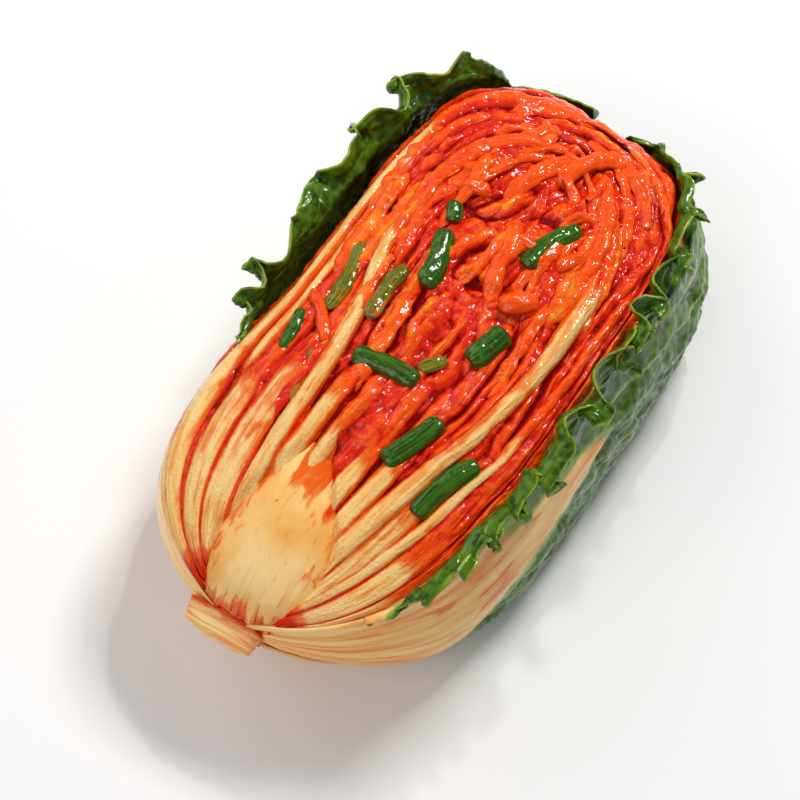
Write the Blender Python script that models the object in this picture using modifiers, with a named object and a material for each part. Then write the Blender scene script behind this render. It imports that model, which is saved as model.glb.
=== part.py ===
"""Half a head of napa cabbage kimchi, lying on its round back with the cut face up.

The head is a set of nested leaves. Every surface in it is one point function, place(), of
three numbers: how far along the head, how far round it from the right rim under the back to the
left rim, and which share of the way out from the middle line. Layers are solids between two such
shares, so they nest without touching. The pale core carries them at the base, three outer leaves
wrap them, and spring onion, radish and leaf strips are bedded in the cut face.

Metres, +Z up, +Y from the root end to the leaf tips. The origin is under the middle of the part.
"""

import math

import bmesh
import bpy
from mathutils import Matrix, Vector

# The packed head, without its outer leaves.
HALF_LENGTH = 0.118
HALF_WIDTH = 0.057
LENGTH_POWER = 4.5
WIDTH_POWER = 0.60
AXIS_SHARE = 0.5
SQUARENESS = 2.6
BELLY = 0.30
ROOT_SHIFT = 0.0085

# The cut face: its height along the middle line, and how far it falls to the rims.
CROWN_HEIGHT = 0.082
CROWN_AT = 0.35
BASE_FALL = 0.2
END_HEIGHT = 0.044
FACE_FALL = 0.011
BACK_HEIGHT = 0.0043

# Nesting.
LAYER_SHARES = (1.0, 0.84, 0.68, 0.52, 0.36)
LAYER_GAP = 0.0006
CUTTER_LIFT = 0.012
RIM_LIFT = 0.001
LAYER_SEGMENTS = 20
LAYER_RINGS = 13

# The pale core with the stub of the root.
CORE_START = -0.126
CORE_END = -0.036
CORE_CENTRE = -0.008
CORE_LEAN = -0.010
CORE_HALF_WIDTH = 0.0205
STUB_HALF_WIDTH = 0.0165
STUB_LENGTH = 0.010
CORE_DEPTH = 0.030
STUB_DEPTH = 0.018
CORE_PROUD = 0.0015
CORE_GAP = 0.0008

# The outer leaves.
LEAF_THICKNESS = 0.0024
BACK_THICKNESS = 0.0032
WRAP_GAP = 0.0015
LAP_GAP = 0.0051
FRILL_RISE = 0.0065
RUFFLE = 0.0022
BACK_RUFFLE = 0.0015
LEAF_ROWS = 27
LEAF_COLUMNS = 9

# Toppings bedded in the face.
BED_GAP = 0.0004
BED_SHARE = 0.55

TURN = 2.0 * math.pi


def clamp(value, low, high):
    return max(low, min(high, value))


def ease(low, high, value):
    """0 below low, 1 above high, and a smooth step between them."""
    t = clamp((value - low) / (high - low), 0.0, 1.0)
    return t * t * (3.0 - 2.0 * t)


def signed_power(value, power):
    return math.copysign(abs(value) ** power, value)


def crown(y):
    """Height of the cut face over the middle line: a slow rise to the leafy end, closed at both ends."""
    t = clamp(y / HALF_LENGTH, -1.0, 1.0)
    slope = 1.0 - BASE_FALL * ((t - CROWN_AT) / (1.0 + CROWN_AT)) ** 2
    return END_HEIGHT + (CROWN_HEIGHT * slope - END_HEIGHT) * math.sqrt(1.0 - abs(t) ** 6)


def middle_line(y):
    """The head's middle line bends to the left on its way to the root."""
    return -ROOT_SHIFT * ease(0.1, -1.0, y / HALF_LENGTH)


def cut_face(x, y):
    return crown(y) - FACE_FALL * ((x - middle_line(y)) / HALF_WIDTH) ** 2


def place(along, turn, share, gap=0.0):
    """A point of the head. along runs from -1 at the root to 1 at the tips, turn from 0 at the right
    rim through a quarter circle at the back to a half circle at the left rim, and share from 0 at the
    middle line to 1 at the packed head's skin. gap is how far the point is moved out."""
    sine = math.sin(along * math.pi / 2.0)
    closing = max(0.0, 1.0 - abs(sine) ** LENGTH_POWER) ** WIDTH_POWER
    width = HALF_WIDTH * closing
    middle = AXIS_SHARE * HALF_LENGTH * along
    y = middle + share * (HALF_LENGTH * sine - middle) + gap * sine
    across = signed_power(math.cos(turn), 2.0 / SQUARENESS)
    down = max(0.0, math.sin(turn)) ** (2.0 / SQUARENESS)
    belly = 1.0 + BELLY * max(0.0, math.sin(turn)) * abs(math.cos(turn)) * 2.0
    x = middle_line(y) + (share * width * belly + gap * min(1.0, closing * 2.0)) * across
    fullness = math.sqrt(max(0.0, 1.0 - abs(sine) ** 6))
    depth = (crown(HALF_LENGTH * sine) - BACK_HEIGHT) * fullness
    z = cut_face(x, y) - (share * depth + gap) * down
    return Vector((x, y, z))


def material(name, colour, roughness):
    made = bpy.data.materials.get(name) or bpy.data.materials.new(name)
    made.use_nodes = True
    made.diffuse_color = (*colour, 1.0)
    surface = made.node_tree.nodes["Principled BSDF"]
    surface.inputs["Base Color"].default_value = (*colour, 1.0)
    surface.inputs["Roughness"].default_value = roughness
    surface.inputs["Metallic"].default_value = 0.0
    return made


def make_object(name, bm, collection, finish=None):
    mesh = bpy.data.meshes.new(name)
    bm.to_mesh(mesh)
    bm.free()
    obj = bpy.data.objects.new(name, mesh)
    collection.objects.link(obj)
    if finish:
        mesh.materials.append(finish)
        mesh.shade_smooth()
    return obj


def make_cutter(obj):
    obj.hide_render = True
    obj.display_type = "WIRE"


def round_solid(name, segments, rings, point, collection, finish=None):
    """A UV sphere with its poles at the head's two ends, each vertex moved to point(along, turn)."""
    bm = bmesh.new()
    bmesh.ops.create_uvsphere(
        bm,
        u_segments=segments,
        v_segments=rings,
        radius=1.0,
        matrix=Matrix.Rotation(-math.pi / 2.0, 4, "X"),
    )
    for vertex in bm.verts:
        along = 2.0 / math.pi * math.asin(clamp(vertex.co.y, -1.0, 1.0))
        turn = math.atan2(-vertex.co.z, vertex.co.x)
        vertex.co = point(along, turn)
    bmesh.ops.recalc_face_normals(bm, faces=bm.faces)
    return make_object(name, bm, collection, finish)


def layer_solid(name, share, collection, finish):
    return round_solid(
        name, LAYER_SEGMENTS, LAYER_RINGS, lambda along, turn: place(along, turn, share), collection, finish
    )


def layer_cutter(name, share, collection):
    """The room for everything inside a layer: the layer's inner skin, open far above the cut face."""

    def point(along, turn):
        if abs(along) > 0.999:
            return place(along, 0.0, share, gap=4.0 * LAYER_GAP)
        raised = place(along, turn, share, gap=LAYER_GAP)
        if math.sin(turn) < 0.001:
            raised.z += RIM_LIFT + CUTTER_LIFT * math.sqrt(max(0.0, -math.sin(turn)))
        return raised

    cutter = round_solid(name, LAYER_SEGMENTS, LAYER_RINGS, point, collection)
    make_cutter(cutter)
    return cutter


def core_point(along, turn, gap):
    """The core is a teardrop on the cut face that ends in a half-round stub at the root."""
    sine = math.sin(along * math.pi / 2.0)
    t = 0.5 + 0.5 * sine
    y = CORE_START + (CORE_END - CORE_START) * t + gap * sine
    from_start = t * (CORE_END - CORE_START)
    flare = ease(STUB_LENGTH, 3.2 * STUB_LENGTH, from_start)
    narrowing = 1.0 - 0.72 * ease(0.42, 1.0, t)
    half_width = (STUB_HALF_WIDTH + (CORE_HALF_WIDTH - STUB_HALF_WIDTH) * flare) * narrowing
    depth = (STUB_DEPTH + (CORE_DEPTH - STUB_DEPTH) * flare) * narrowing
    blunt = (1.0 - abs(sine) ** 8) ** 0.25
    x = CORE_CENTRE + CORE_LEAN * t + (half_width * blunt + gap) * signed_power(math.cos(turn), 0.8)
    down = signed_power(math.sin(turn), 0.9)
    top = CORE_PROUD + gap
    drop = down * (depth * blunt + gap) if down > 0.0 else down * top
    return Vector((x, y, crown(y) - drop))


def leaf_point(side, length_share, across_share, spread, span, blade_span, flare):
    """An outer leaf: a smooth stalk at the root, a ruffled blade that stands above the rim further on.
    side is 1 for the right leaf and -1 for the left one, span is how far along the head it runs, and
    blade_span is the share of its length over which the stalk's edge turns into the blade's."""
    along = span[0] + (span[1] - span[0]) * length_share
    blade = ease(*blade_span, length_share) * (1.0 - 0.5 * ease(0.9, 1.0, length_share))
    stand = clamp(1.0 - across_share / 0.22, 0.0, 1.0)
    turn = spread * clamp((across_share - 0.22) / 0.78, 0.0, 1.0)
    if side < 0:
        turn = math.pi - turn
    point = place(along, turn, 1.0, gap=WRAP_GAP)
    waves = math.sin(TURN * 7.0 * length_share) + 0.5 * math.sin(TURN * 11.0 * length_share + 1.0)
    edge = (1.0 - across_share) ** 2 + 0.5 * across_share**4
    out = flare * blade * stand + RUFFLE * blade * edge * (1.0 + 0.6 * waves)
    point.x += side * out
    point.z += blade * stand * FRILL_RISE * (1.0 + 0.25 * waves)
    return point


def back_point(length_share, across_share):
    """The leaf that the head lies on: a broad stalk under the root end, and a flat spot to rest on."""
    along = -0.79 + 1.61 * length_share
    half_turn = math.radians(38.0 + 10.0 * ease(0.2, 0.6, length_share))
    turn = math.pi / 2.0 + half_turn * (1.0 - 2.0 * across_share)
    from_middle = abs(1.0 - 2.0 * across_share)
    point = place(along, turn, 1.0, gap=WRAP_GAP + (LAP_GAP - WRAP_GAP) * ease(0.6, 0.83, from_middle))
    waves = math.sin(TURN * 6.0 * length_share + 4.0 * across_share)
    point.x += math.copysign(BACK_RUFFLE * (1.0 + waves) * from_middle**6, across_share - 0.5)
    point.z = max(point.z, BACK_THICKNESS)
    return point


def leaf_shell(name, point, thickness, collection, finish):
    """An open sheet from a grid, thickened outwards."""
    bm = bmesh.new()
    bmesh.ops.create_grid(bm, x_segments=LEAF_ROWS, y_segments=LEAF_COLUMNS, size=0.5)
    middle = Vector((0.0, 0.0, CROWN_HEIGHT / 2.0))
    for vertex in bm.verts:
        vertex.co = point(vertex.co.x + 0.5, vertex.co.y + 0.5)
    bm.normal_update()
    outward = sum(face.normal.dot(face.calc_center_median() - middle) for face in bm.faces)
    if outward < 0.0:
        bmesh.ops.reverse_faces(bm, faces=bm.faces)
    leaf = make_object(name, bm, collection, finish)
    thicken = leaf.modifiers.new("thickness", "SOLIDIFY")
    thicken.thickness = thickness
    thicken.offset = 1.0
    return leaf


def stick_mesh(name, start, end, radius, bow, grown, sides):
    """A straight-cut stick lying on the face from start to end, bowed sideways by bow."""
    points = []
    steps = 5
    first, last = Vector(start), Vector(end)
    direction = (last - first).normalized()
    sideways = Vector((-direction.y, direction.x))
    for step in range(steps + 1):
        t = step / steps
        flat = first.lerp(last, t) + sideways * bow * math.sin(math.pi * t)
        if grown:
            flat += direction * grown * (2.0 * t - 1.0)
        points.append((flat.x, flat.y, cut_face(flat.x, flat.y) + BED_SHARE * radius))
    curve = bpy.data.curves.new(name, "CURVE")
    curve.dimensions = "3D"
    curve.bevel_depth = radius + grown
    curve.bevel_resolution = sides
    curve.use_fill_caps = True
    spline = curve.splines.new("POLY")
    spline.points.add(steps)
    for target, point in zip(spline.points, points):
        target.co = (*point, 1.0)
    guide = bpy.data.objects.new(name, curve)
    bpy.context.scene.collection.objects.link(guide)
    bpy.context.view_layer.update()
    graph = bpy.context.evaluated_depsgraph_get()
    mesh = bpy.data.meshes.new_from_object(guide.evaluated_get(graph))
    bpy.data.objects.remove(guide)
    bpy.data.curves.remove(curve)
    bm = bmesh.new()
    bm.from_mesh(mesh)
    bpy.data.meshes.remove(mesh)
    bmesh.ops.remove_doubles(bm, verts=bm.verts, dist=0.00005)
    bmesh.ops.recalc_face_normals(bm, faces=bm.faces)
    return bm


def add_stick(name, start, end, radius, bow, collections, finish, sides=2):
    parts, cutters = collections
    make_object(name, stick_mesh(name, start, end, radius, bow, 0.0, sides), parts, finish)
    bed = stick_mesh(name + "_bed", start, end, radius, bow, BED_GAP, sides)
    make_cutter(make_object(name + "_bed", bed, cutters))


def lens_mesh(start, end, half_width, half_height, grown):
    """A flat lens from start to end, half sunk in the face."""
    first, last = Vector(start), Vector(end)
    centre = first.lerp(last, 0.5)
    height = cut_face(centre.x, centre.y) + 0.3 * half_height
    ends = [cut_face(p.x, p.y) for p in (first, last)]
    run = (last - first).length
    pitch = -math.atan2(ends[1] - ends[0], run)
    heading = math.atan2(last.y - first.y, last.x - first.x)
    sizes = (run / 2.0 + grown, half_width + grown, half_height + grown)
    scale = Matrix.Diagonal((*sizes, 1.0))
    turned = Matrix.Rotation(heading, 4, "Z") @ Matrix.Rotation(pitch, 4, "Y")
    placed = Matrix.Translation((centre.x, centre.y, height)) @ turned @ scale
    bm = bmesh.new()
    lying = Matrix.Rotation(math.pi / 2.0, 4, "Y")
    bmesh.ops.create_uvsphere(bm, u_segments=8, v_segments=6, radius=1.0, matrix=placed @ lying)
    return bm


def add_lens(name, start, end, half_width, half_height, collections, finish):
    parts, cutters = collections
    make_object(name, lens_mesh(start, end, half_width, half_height, 0.0), parts, finish)
    bed = lens_mesh(start, end, half_width, half_height, BED_GAP)
    make_cutter(make_object(name + "_bed", bed, cutters))


def cut_with(obj, cutter=None, collection=None):
    """Takes one cutter, or all of a collection's, out of obj."""
    cut = obj.modifiers.new("cut", "BOOLEAN")
    cut.operation = "DIFFERENCE"
    cut.solver = "EXACT"
    if collection:
        cut.operand_type = "COLLECTION"
        cut.collection = collection
    else:
        cut.object = cutter


def add_layers(parts, rooms, beds, finish, heart_finish):
    """Nested leaf layers, each open to the next one in, round a solid heart."""
    for number, share in enumerate(LAYER_SHARES[:-1], start=1):
        layer = layer_solid(f"leaf_layer_{number}", share, parts, finish)
        room = layer_cutter(f"room_{number}", LAYER_SHARES[number], rooms)
        cut_with(layer, cutter=room)
        cut_with(layer, collection=beds)
    heart = layer_solid("heart", LAYER_SHARES[-1], parts, heart_finish)
    cut_with(heart, collection=beds)


def add_core(parts, beds, finish):
    round_solid("core", 14, 11, lambda along, turn: core_point(along, turn, 0.0), parts, finish)
    bed = round_solid("core_bed", 14, 11, lambda along, turn: core_point(along, turn, CORE_GAP), beds)
    make_cutter(bed)


def add_outer_leaves(parts, finish):
    def right(length_share, across_share):
        return leaf_point(1, length_share, across_share, math.radians(50.0), (-0.72, 0.87), (0.08, 0.26), 0.003)

    def left(length_share, across_share):
        return leaf_point(-1, length_share, across_share, math.radians(46.0), (-0.70, 0.93), (0.40, 0.56), 0.002)

    for name, point, thickness in (
        ("outer_leaf_right", right, LEAF_THICKNESS),
        ("outer_leaf_left", left, LEAF_THICKNESS),
        ("outer_leaf_back", back_point, BACK_THICKNESS),
    ):
        leaf_shell(name, point, thickness, parts, finish)


# Name, start and end on the face, radius and sideways bow of each spring onion piece.
ONIONS = (
    ("onion_1", (-0.021, 0.037), (-0.015, 0.015), 0.0037, -0.0012),
    ("onion_2", (0.019, 0.064), (0.011, 0.041), 0.0036, 0.0008),
    ("onion_3", (0.019, 0.014), (0.015, -0.002), 0.0041, 0.0),
    ("onion_4", (-0.021, -0.021), (0.003, -0.019), 0.0037, -0.0008),
    ("onion_5", (0.018, -0.027), (0.010, -0.049), 0.0038, 0.0),
    ("onion_6", (0.037, -0.032), (0.029, -0.058), 0.0035, 0.001),
    ("onion_7", (-0.048, -0.014), (-0.046, -0.031), 0.0026, 0.0),
    ("onion_8", (-0.024, 0.050), (-0.021, 0.042), 0.0028, 0.0),
)

# Sticks of radish.
RADISHES = (
    ("radish_1", (-0.050, -0.006), (-0.034, -0.022), 0.0024, 0.0012),
    ("radish_2", (0.013, 0.021), (0.023, 0.030), 0.0046, 0.0),
    ("radish_3", (0.022, 0.046), (0.026, 0.055), 0.0030, 0.0),
)

# Olive strips of leaf: name, start, end, half width and half height.
STRIPS = (
    ("leaf_strip_1", (-0.045, 0.020), (-0.041, -0.010), 0.0040, 0.0020),
    ("leaf_strip_2", (-0.025, 0.018), (-0.025, -0.006), 0.0040, 0.0020),
    ("leaf_strip_3", (-0.035, -0.026), (-0.031, -0.047), 0.0026, 0.0018),
    ("leaf_strip_4", (0.008, -0.006), (0.001, -0.014), 0.0030, 0.0018),
)


def centre_on_floor(collections):
    """Moves everything so that the origin is under the middle of the part's own box."""
    bpy.context.view_layer.update()
    graph = bpy.context.evaluated_depsgraph_get()
    low, high = Vector((1.0,) * 3), Vector((-1.0,) * 3)
    for obj in collections[0].objects:
        for vertex in obj.evaluated_get(graph).data.vertices:
            low = Vector(map(min, low, vertex.co))
            high = Vector(map(max, high, vertex.co))
    shift = Vector(((low.x + high.x) / 2.0, (low.y + high.y) / 2.0, low.z))
    for collection in collections:
        for obj in collection.objects:
            obj.data.transform(Matrix.Translation(-shift))


def new_collection(name):
    collection = bpy.data.collections.new(name)
    bpy.context.scene.collection.children.link(collection)
    return collection


def main():
    for obj in list(bpy.data.objects):
        bpy.data.objects.remove(obj)
    parts = new_collection("kimchi")
    rooms = new_collection("rooms")
    beds = new_collection("beds")
    leaf_red = material("seasoned_leaf", (0.80, 0.16, 0.03), 0.30)
    heart_red = material("seasoned_heart", (0.78, 0.10, 0.02), 0.30)
    pale = material("pale_stalk", (0.90, 0.72, 0.42), 0.35)
    green = material("green_leaf", (0.06, 0.20, 0.02), 0.35)
    onion_green = material("spring_onion", (0.03, 0.14, 0.02), 0.30)
    olive = material("olive_leaf", (0.28, 0.26, 0.03), 0.35)
    radish_red = material("radish", (0.85, 0.12, 0.02), 0.30)

    add_core(parts, beds, pale)
    for name, start, end, radius, bow in ONIONS:
        add_stick(name, start, end, radius, bow, (parts, beds), onion_green)
    for name, start, end, radius, bow in RADISHES:
        add_stick(name, start, end, radius, bow, (parts, beds), radish_red, sides=1)
    for name, start, end, half_width, half_height in STRIPS:
        add_lens(name, start, end, half_width, half_height, (parts, beds), olive)
    add_layers(parts, rooms, beds, leaf_red, heart_red)
    add_outer_leaves(parts, green)
    centre_on_floor((parts, rooms, beds))


main()
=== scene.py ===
"""The looks of half a head of napa cabbage kimchi that lies on its back with the cut face up.

Lengths in the code are millimetres until a mesh is made. The head runs along Y, from the root stub
at the low end to the leaf tips at the high end. Its cut face is described by two numbers: sweep,
which runs from -1 at the root up the left side to 0 over the tips and down the right side to 1, and
share, the part of the way out from the middle line to the rim. The back is described by along and
turn, as in the solids: along runs from -1 at the root to 1 at the tips, and turn is the angle from
the right rim under the back to the left rim.
"""

import math

import bpy
import numpy as np
from bpy.props import FloatProperty, FloatVectorProperty, IntProperty, PointerProperty
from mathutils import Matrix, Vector


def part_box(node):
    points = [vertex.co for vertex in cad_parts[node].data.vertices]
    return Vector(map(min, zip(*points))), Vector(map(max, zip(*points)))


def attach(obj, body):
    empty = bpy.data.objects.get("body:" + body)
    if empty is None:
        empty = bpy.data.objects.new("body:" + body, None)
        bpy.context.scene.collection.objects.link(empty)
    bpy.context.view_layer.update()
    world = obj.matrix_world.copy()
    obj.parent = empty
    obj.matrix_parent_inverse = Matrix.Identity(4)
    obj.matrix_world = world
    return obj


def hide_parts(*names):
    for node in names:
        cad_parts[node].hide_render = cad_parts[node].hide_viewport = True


bl_info = {
    "name": "Kimchi Half Head",
    "version": (1, 0, 0),
    "blender": (4, 5, 0),
    "location": "View3D > Sidebar > Kimchi",
    "description": "Builds the detailed leaves, core and toppings of a half head of kimchi",
    "category": "Add Mesh",
}

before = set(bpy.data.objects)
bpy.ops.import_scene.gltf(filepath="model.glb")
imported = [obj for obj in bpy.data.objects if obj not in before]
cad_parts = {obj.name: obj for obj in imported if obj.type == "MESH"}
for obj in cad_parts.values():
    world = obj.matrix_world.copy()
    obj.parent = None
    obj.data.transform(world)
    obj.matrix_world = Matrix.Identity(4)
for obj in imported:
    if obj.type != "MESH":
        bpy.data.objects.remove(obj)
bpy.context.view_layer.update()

MM = 0.001
TURN = 2.0 * math.pi

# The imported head, in millimetres.
HALF_LENGTH = 118.0
HALF_WIDTH = 57.0
ROOT_POWERS = (4.5, 0.60)
TIP_POWERS = (6.0, 0.55)
AXIS_SHARE = 0.5
SQUARENESS = 2.6
BELLY = 0.30
ROOT_SHIFT = 8.5
CROWN_HEIGHT = 82.0
CROWN_AT = 0.35
BASE_FALL = 0.2
ROOT_END_HEIGHT = 44.0
TIP_END_HEIGHT = 52.0
FACE_FALL = 11.0
BACK_HEIGHT = 4.3
ROLL_SHARE = 1.10
ROLL_DROP = 7.0
RIGHT_TUCK = 0.14
LEFT_TUCK = 0.06

# The leaf layers on the cut face, from the rim inwards, as shares.
LAYER_SHARES = (ROLL_SHARE, 0.84, 0.68, 0.52, 0.36, 0.0)


def box_middle(node):
    """The middle of a CAD node's box, in millimetres."""
    low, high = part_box(node)
    return (np.array(low) + np.array(high)) / 2.0 / MM


# Where the head's own origin lies in the frame, from two nodes whose place in the head is known.
ORIGIN = np.array([box_middle("onion_3")[0] - 17.0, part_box("core")[0].y / MM + 126.0, 0.0])


# --- numbers ---------------------------------------------------------------------------------


def ease(low, high, value):
    """0 below low, 1 above high, with the smooth step 3t^2 - 2t^3 between."""
    t = np.clip((value - low) / (high - low), 0.0, 1.0)
    return t * t * (3.0 - 2.0 * t)


def lattice(cell, seed):
    """A number from 0 to 1 for each whole-number point: its coordinates times large odd numbers,
    added, shifted and multiplied again with the overflow dropped."""
    with np.errstate(over="ignore"):
        mixed = cell[..., 0].astype(np.uint32) * np.uint32(374761393)
        mixed = mixed + cell[..., 1].astype(np.uint32) * np.uint32(668265263)
        mixed = mixed + cell[..., 2].astype(np.uint32) * np.uint32(2246822519)
        mixed = mixed + np.uint32((seed * 3266489917) & 0xFFFFFFFF)
        mixed = (mixed ^ (mixed >> np.uint32(13))) * np.uint32(1274126177)
        mixed = mixed ^ (mixed >> np.uint32(16))
    return mixed / 4294967295.0


def noise(points, size, seed=0):
    """Smooth noise from -1 to 1: the lattice numbers at the eight corners of a cell of the given
    size, blended by smooth steps along the three axes."""
    scaled = np.asarray(points, float) / np.asarray(size, float)
    base = np.floor(scaled)
    part = scaled - base
    part = part * part * (3.0 - 2.0 * part)
    base = base.astype(np.int64)
    total = np.zeros(scaled.shape[:-1])
    for corner in np.ndindex(2, 2, 2):
        near = np.where(np.array(corner) == 1, part, 1.0 - part)
        total += near.prod(axis=-1) * lattice(base + np.array(corner), seed)
    return 2.0 * total - 1.0


def line_noise(value, size, seed):
    """Noise along one line: value is any array of positions."""
    value = np.asarray(value, float)
    steady = np.zeros_like(value)
    return noise(np.stack([value, steady + 0.37 * size, steady + 0.71 * size], axis=-1), size, seed)


def smooth_path(value, knots):
    """A curve through knots, pairs of position and height, rounded by averaging over a short span."""
    places, heights = np.array(knots, float).T
    span = 0.12 * (places[-1] - places[0]) * np.linspace(-0.5, 0.5, 9)
    return np.mean([np.interp(value + shift, places, heights) for shift in span], axis=0)


# --- the head's form -------------------------------------------------------------------------


def crown(y):
    """Height of the cut face over the middle line: a slow rise to the leafy end, rounded off at both
    ends by the square root of one minus a high power of y, a higher one at the tips."""
    t = np.clip(y / HALF_LENGTH, -1.0, 1.0)
    slope = 1.0 - BASE_FALL * ((t - CROWN_AT) / (1.0 + CROWN_AT)) ** 2
    end = np.where(t < 0.0, ROOT_END_HEIGHT, TIP_END_HEIGHT)
    power = np.where(t < 0.0, 6.0, 10.0)
    return end + (CROWN_HEIGHT * slope - end) * np.sqrt(1.0 - np.abs(t) ** power)


def middle_line(y):
    """X of the middle line: 0, and an eased shift to the left toward the root."""
    return -ROOT_SHIFT * ease(0.1, -1.0, y / HALF_LENGTH)


def cut_face(x, y):
    """Height of the cut face: the crown, less the square of the way out to the rim."""
    return crown(y) - FACE_FALL * ((x - middle_line(y)) / HALF_WIDTH) ** 2


def closing(sine):
    """How the width closes at the ends: (1 - |sine|^p)^q, with fuller powers at the tips."""
    root = np.clip(1.0 - np.abs(sine) ** ROOT_POWERS[0], 0.0, 1.0) ** ROOT_POWERS[1]
    tip = np.clip(1.0 - np.abs(sine) ** TIP_POWERS[0], 0.0, 1.0) ** TIP_POWERS[1]
    return np.where(sine < 0.0, root, tip)


def face_line(sweep, share):
    """The point of the cut face at a sweep and a share. At the root all shares meet, as stalks do.
    At the tips they nest as arches round a middle line that ends halfway. Outside the rim the face
    rolls over by the square of the distance, less far out where an outer leaf stands against it."""
    along = 1.0 - 2.0 * np.abs(sweep)
    sine = np.sin(along * math.pi / 2.0)
    line_y = HALF_LENGTH * sine
    middle = np.where(along < 0.0, line_y, AXIS_SHARE * HALF_LENGTH * along)
    y = middle + share * (line_y - middle)
    left = LEFT_TUCK * ease(-0.66, -0.52, sweep) * ease(0.0, -0.12, sweep)
    tuck = RIGHT_TUCK * ease(-0.05, 0.12, sweep) + left
    tucked = share - tuck * ease(0.84, ROLL_SHARE, share)
    x = middle_line(y) + np.sign(sweep) * tucked * HALF_WIDTH * closing(sine)
    roll = np.clip((share - 0.97) / (ROLL_SHARE - 0.97), 0.0, 2.0)
    z = cut_face(x, y) - ROLL_DROP * roll**2 * ease(-110.0, -45.0, y)
    return np.stack([x + 0.0 * z, y + 0.0 * z, z], axis=-1)


def place(along, turn, share, gap=0.0):
    """A point of the back: an outline like a rounded square in each cross-section, wider below the
    rim than at it, nested by share and moved out by gap."""
    sine = np.sin(along * math.pi / 2.0)
    width = HALF_WIDTH * closing(sine)
    middle = AXIS_SHARE * HALF_LENGTH * along
    y = middle + share * (HALF_LENGTH * sine - middle) + gap * sine
    cosine, down = np.cos(turn), np.maximum(0.0, np.sin(turn))
    across = np.sign(cosine) * np.abs(cosine) ** (2.0 / SQUARENESS)
    belly = 1.0 + BELLY * 2.0 * down * np.abs(cosine)
    x = middle_line(y) + (share * width * belly + gap * np.minimum(1.0, closing(sine) * 2.0)) * across
    depth = (crown(HALF_LENGTH * sine) - BACK_HEIGHT) * np.sqrt(1.0 - np.abs(sine) ** 6)
    z = cut_face(x, y) - (share * depth + gap) * down ** (2.0 / SQUARENESS)
    return np.stack(np.broadcast_arrays(x, y, z), axis=-1)


def surface_normals(points):
    """Unit normals of a grid of points: the cross product of its two central differences."""
    first = np.gradient(points, axis=0)
    second = np.gradient(points, axis=1)
    normal = np.cross(first, second)
    return normal / np.maximum(np.linalg.norm(normal, axis=-1, keepdims=True), 1e-9)


def face_normals(points):
    """Unit normals of the cut face over the given points, from its slopes along X and Y."""
    x, y = points[..., 0], points[..., 1]
    slope_x = (cut_face(x + 0.5, y) - cut_face(x - 0.5, y))
    slope_y = np.clip(cut_face(x, y + 0.5) - cut_face(x, y - 0.5), -3.0, 3.0)
    normal = np.stack([-slope_x, -slope_y, np.ones_like(x)], axis=-1)
    return normal / np.linalg.norm(normal, axis=-1, keepdims=True)


# --- meshes ----------------------------------------------------------------------------------

MARKS = ("pale", "deep", "tone", "green", "vein")


def loft(rings, flow, **marks):
    """A closed body: rings of points carried along a path, quads between neighbouring rings, and a
    fan of triangles to the middle of each end ring. marks are numbers for each point of the rings."""
    count, around = rings.shape[:2]
    i = np.arange(count - 1)[:, None] * around
    j = np.arange(around)[None, :]
    k = (j + 1) % around
    quads = np.stack([i + j, i + k, i + around + k, i + around + j], axis=-1).reshape(-1, 4)
    j, k, last = j[0], k[0], (count - 1) * around
    first_fan = np.stack([k, j, np.full(around, count * around)], axis=-1)
    last_fan = np.stack([last + j, last + k, np.full(around, count * around + 1)], axis=-1)
    fans = np.concatenate([first_fan, last_fan])

    def with_ends(values):
        """All the rings in one row, then the mean of the first ring and of the last."""
        ends = np.stack([values[0].mean(axis=0), values[-1].mean(axis=0)])
        return np.concatenate([values.reshape((-1,) + values.shape[2:]), ends])

    points = with_ends(rings)
    shape = (count, around)
    values = {name: with_ends(np.broadcast_to(marks.get(name, 0.0), shape)) for name in MARKS}
    a, b, c, d = (points[quads[:, n]] for n in range(4))
    volume = np.einsum("ij,ij->", a, np.cross(b, c)) + np.einsum("ij,ij->", a, np.cross(c, d))
    if volume < 0.0:
        quads, fans = quads[:, ::-1], fans[:, ::-1]
    return {"points": points, "quads": quads, "fans": fans, "flow": with_ends(flow), "marks": values}


def make_piece(name, parts, finish, slot, *nodes):
    """One mesh object from closed bodies. It rides on the root body and stands for the CAD nodes."""
    starts = np.cumsum([0] + [len(part["points"]) for part in parts])
    points = np.concatenate([part["points"] for part in parts]) + ORIGIN
    quads = np.concatenate([part["quads"] + start for part, start in zip(parts, starts)])
    fans = np.concatenate([part["fans"] + start for part, start in zip(parts, starts)])
    loops = np.concatenate([quads.ravel(), fans.ravel()]).astype(np.int32)
    sizes = np.concatenate([np.full(len(quads), 4), np.full(len(fans), 3)])
    mesh = bpy.data.meshes.new(name)
    mesh.vertices.add(len(points))
    mesh.vertices.foreach_set("co", (points * MM).astype(np.float32).ravel())
    mesh.loops.add(len(loops))
    mesh.loops.foreach_set("vertex_index", loops)
    mesh.polygons.add(len(sizes))
    mesh.polygons.foreach_set("loop_start", (np.cumsum(sizes) - sizes).astype(np.int32))
    mesh.polygons.foreach_set("use_smooth", np.ones(len(sizes), bool))
    mesh.update(calc_edges=True)
    mesh.validate()
    flow = np.concatenate([part["flow"] for part in parts])
    layer = mesh.attributes.new("flow", "FLOAT_VECTOR", "POINT")
    layer.data.foreach_set("vector", flow.astype(np.float32).ravel())
    for mark in MARKS:
        values = np.concatenate([part["marks"][mark] for part in parts])
        mesh.attributes.new(mark, "FLOAT", "POINT").data.foreach_set("value", values.astype(np.float32))
    mesh.materials.append(finish)
    piece = bpy.data.objects.new(name, mesh)
    bpy.context.scene.collection.objects.link(piece)
    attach(piece, "root")
    if nodes:
        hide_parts(*nodes)
    return piece


# --- shader words ----------------------------------------------------------------------------


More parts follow.
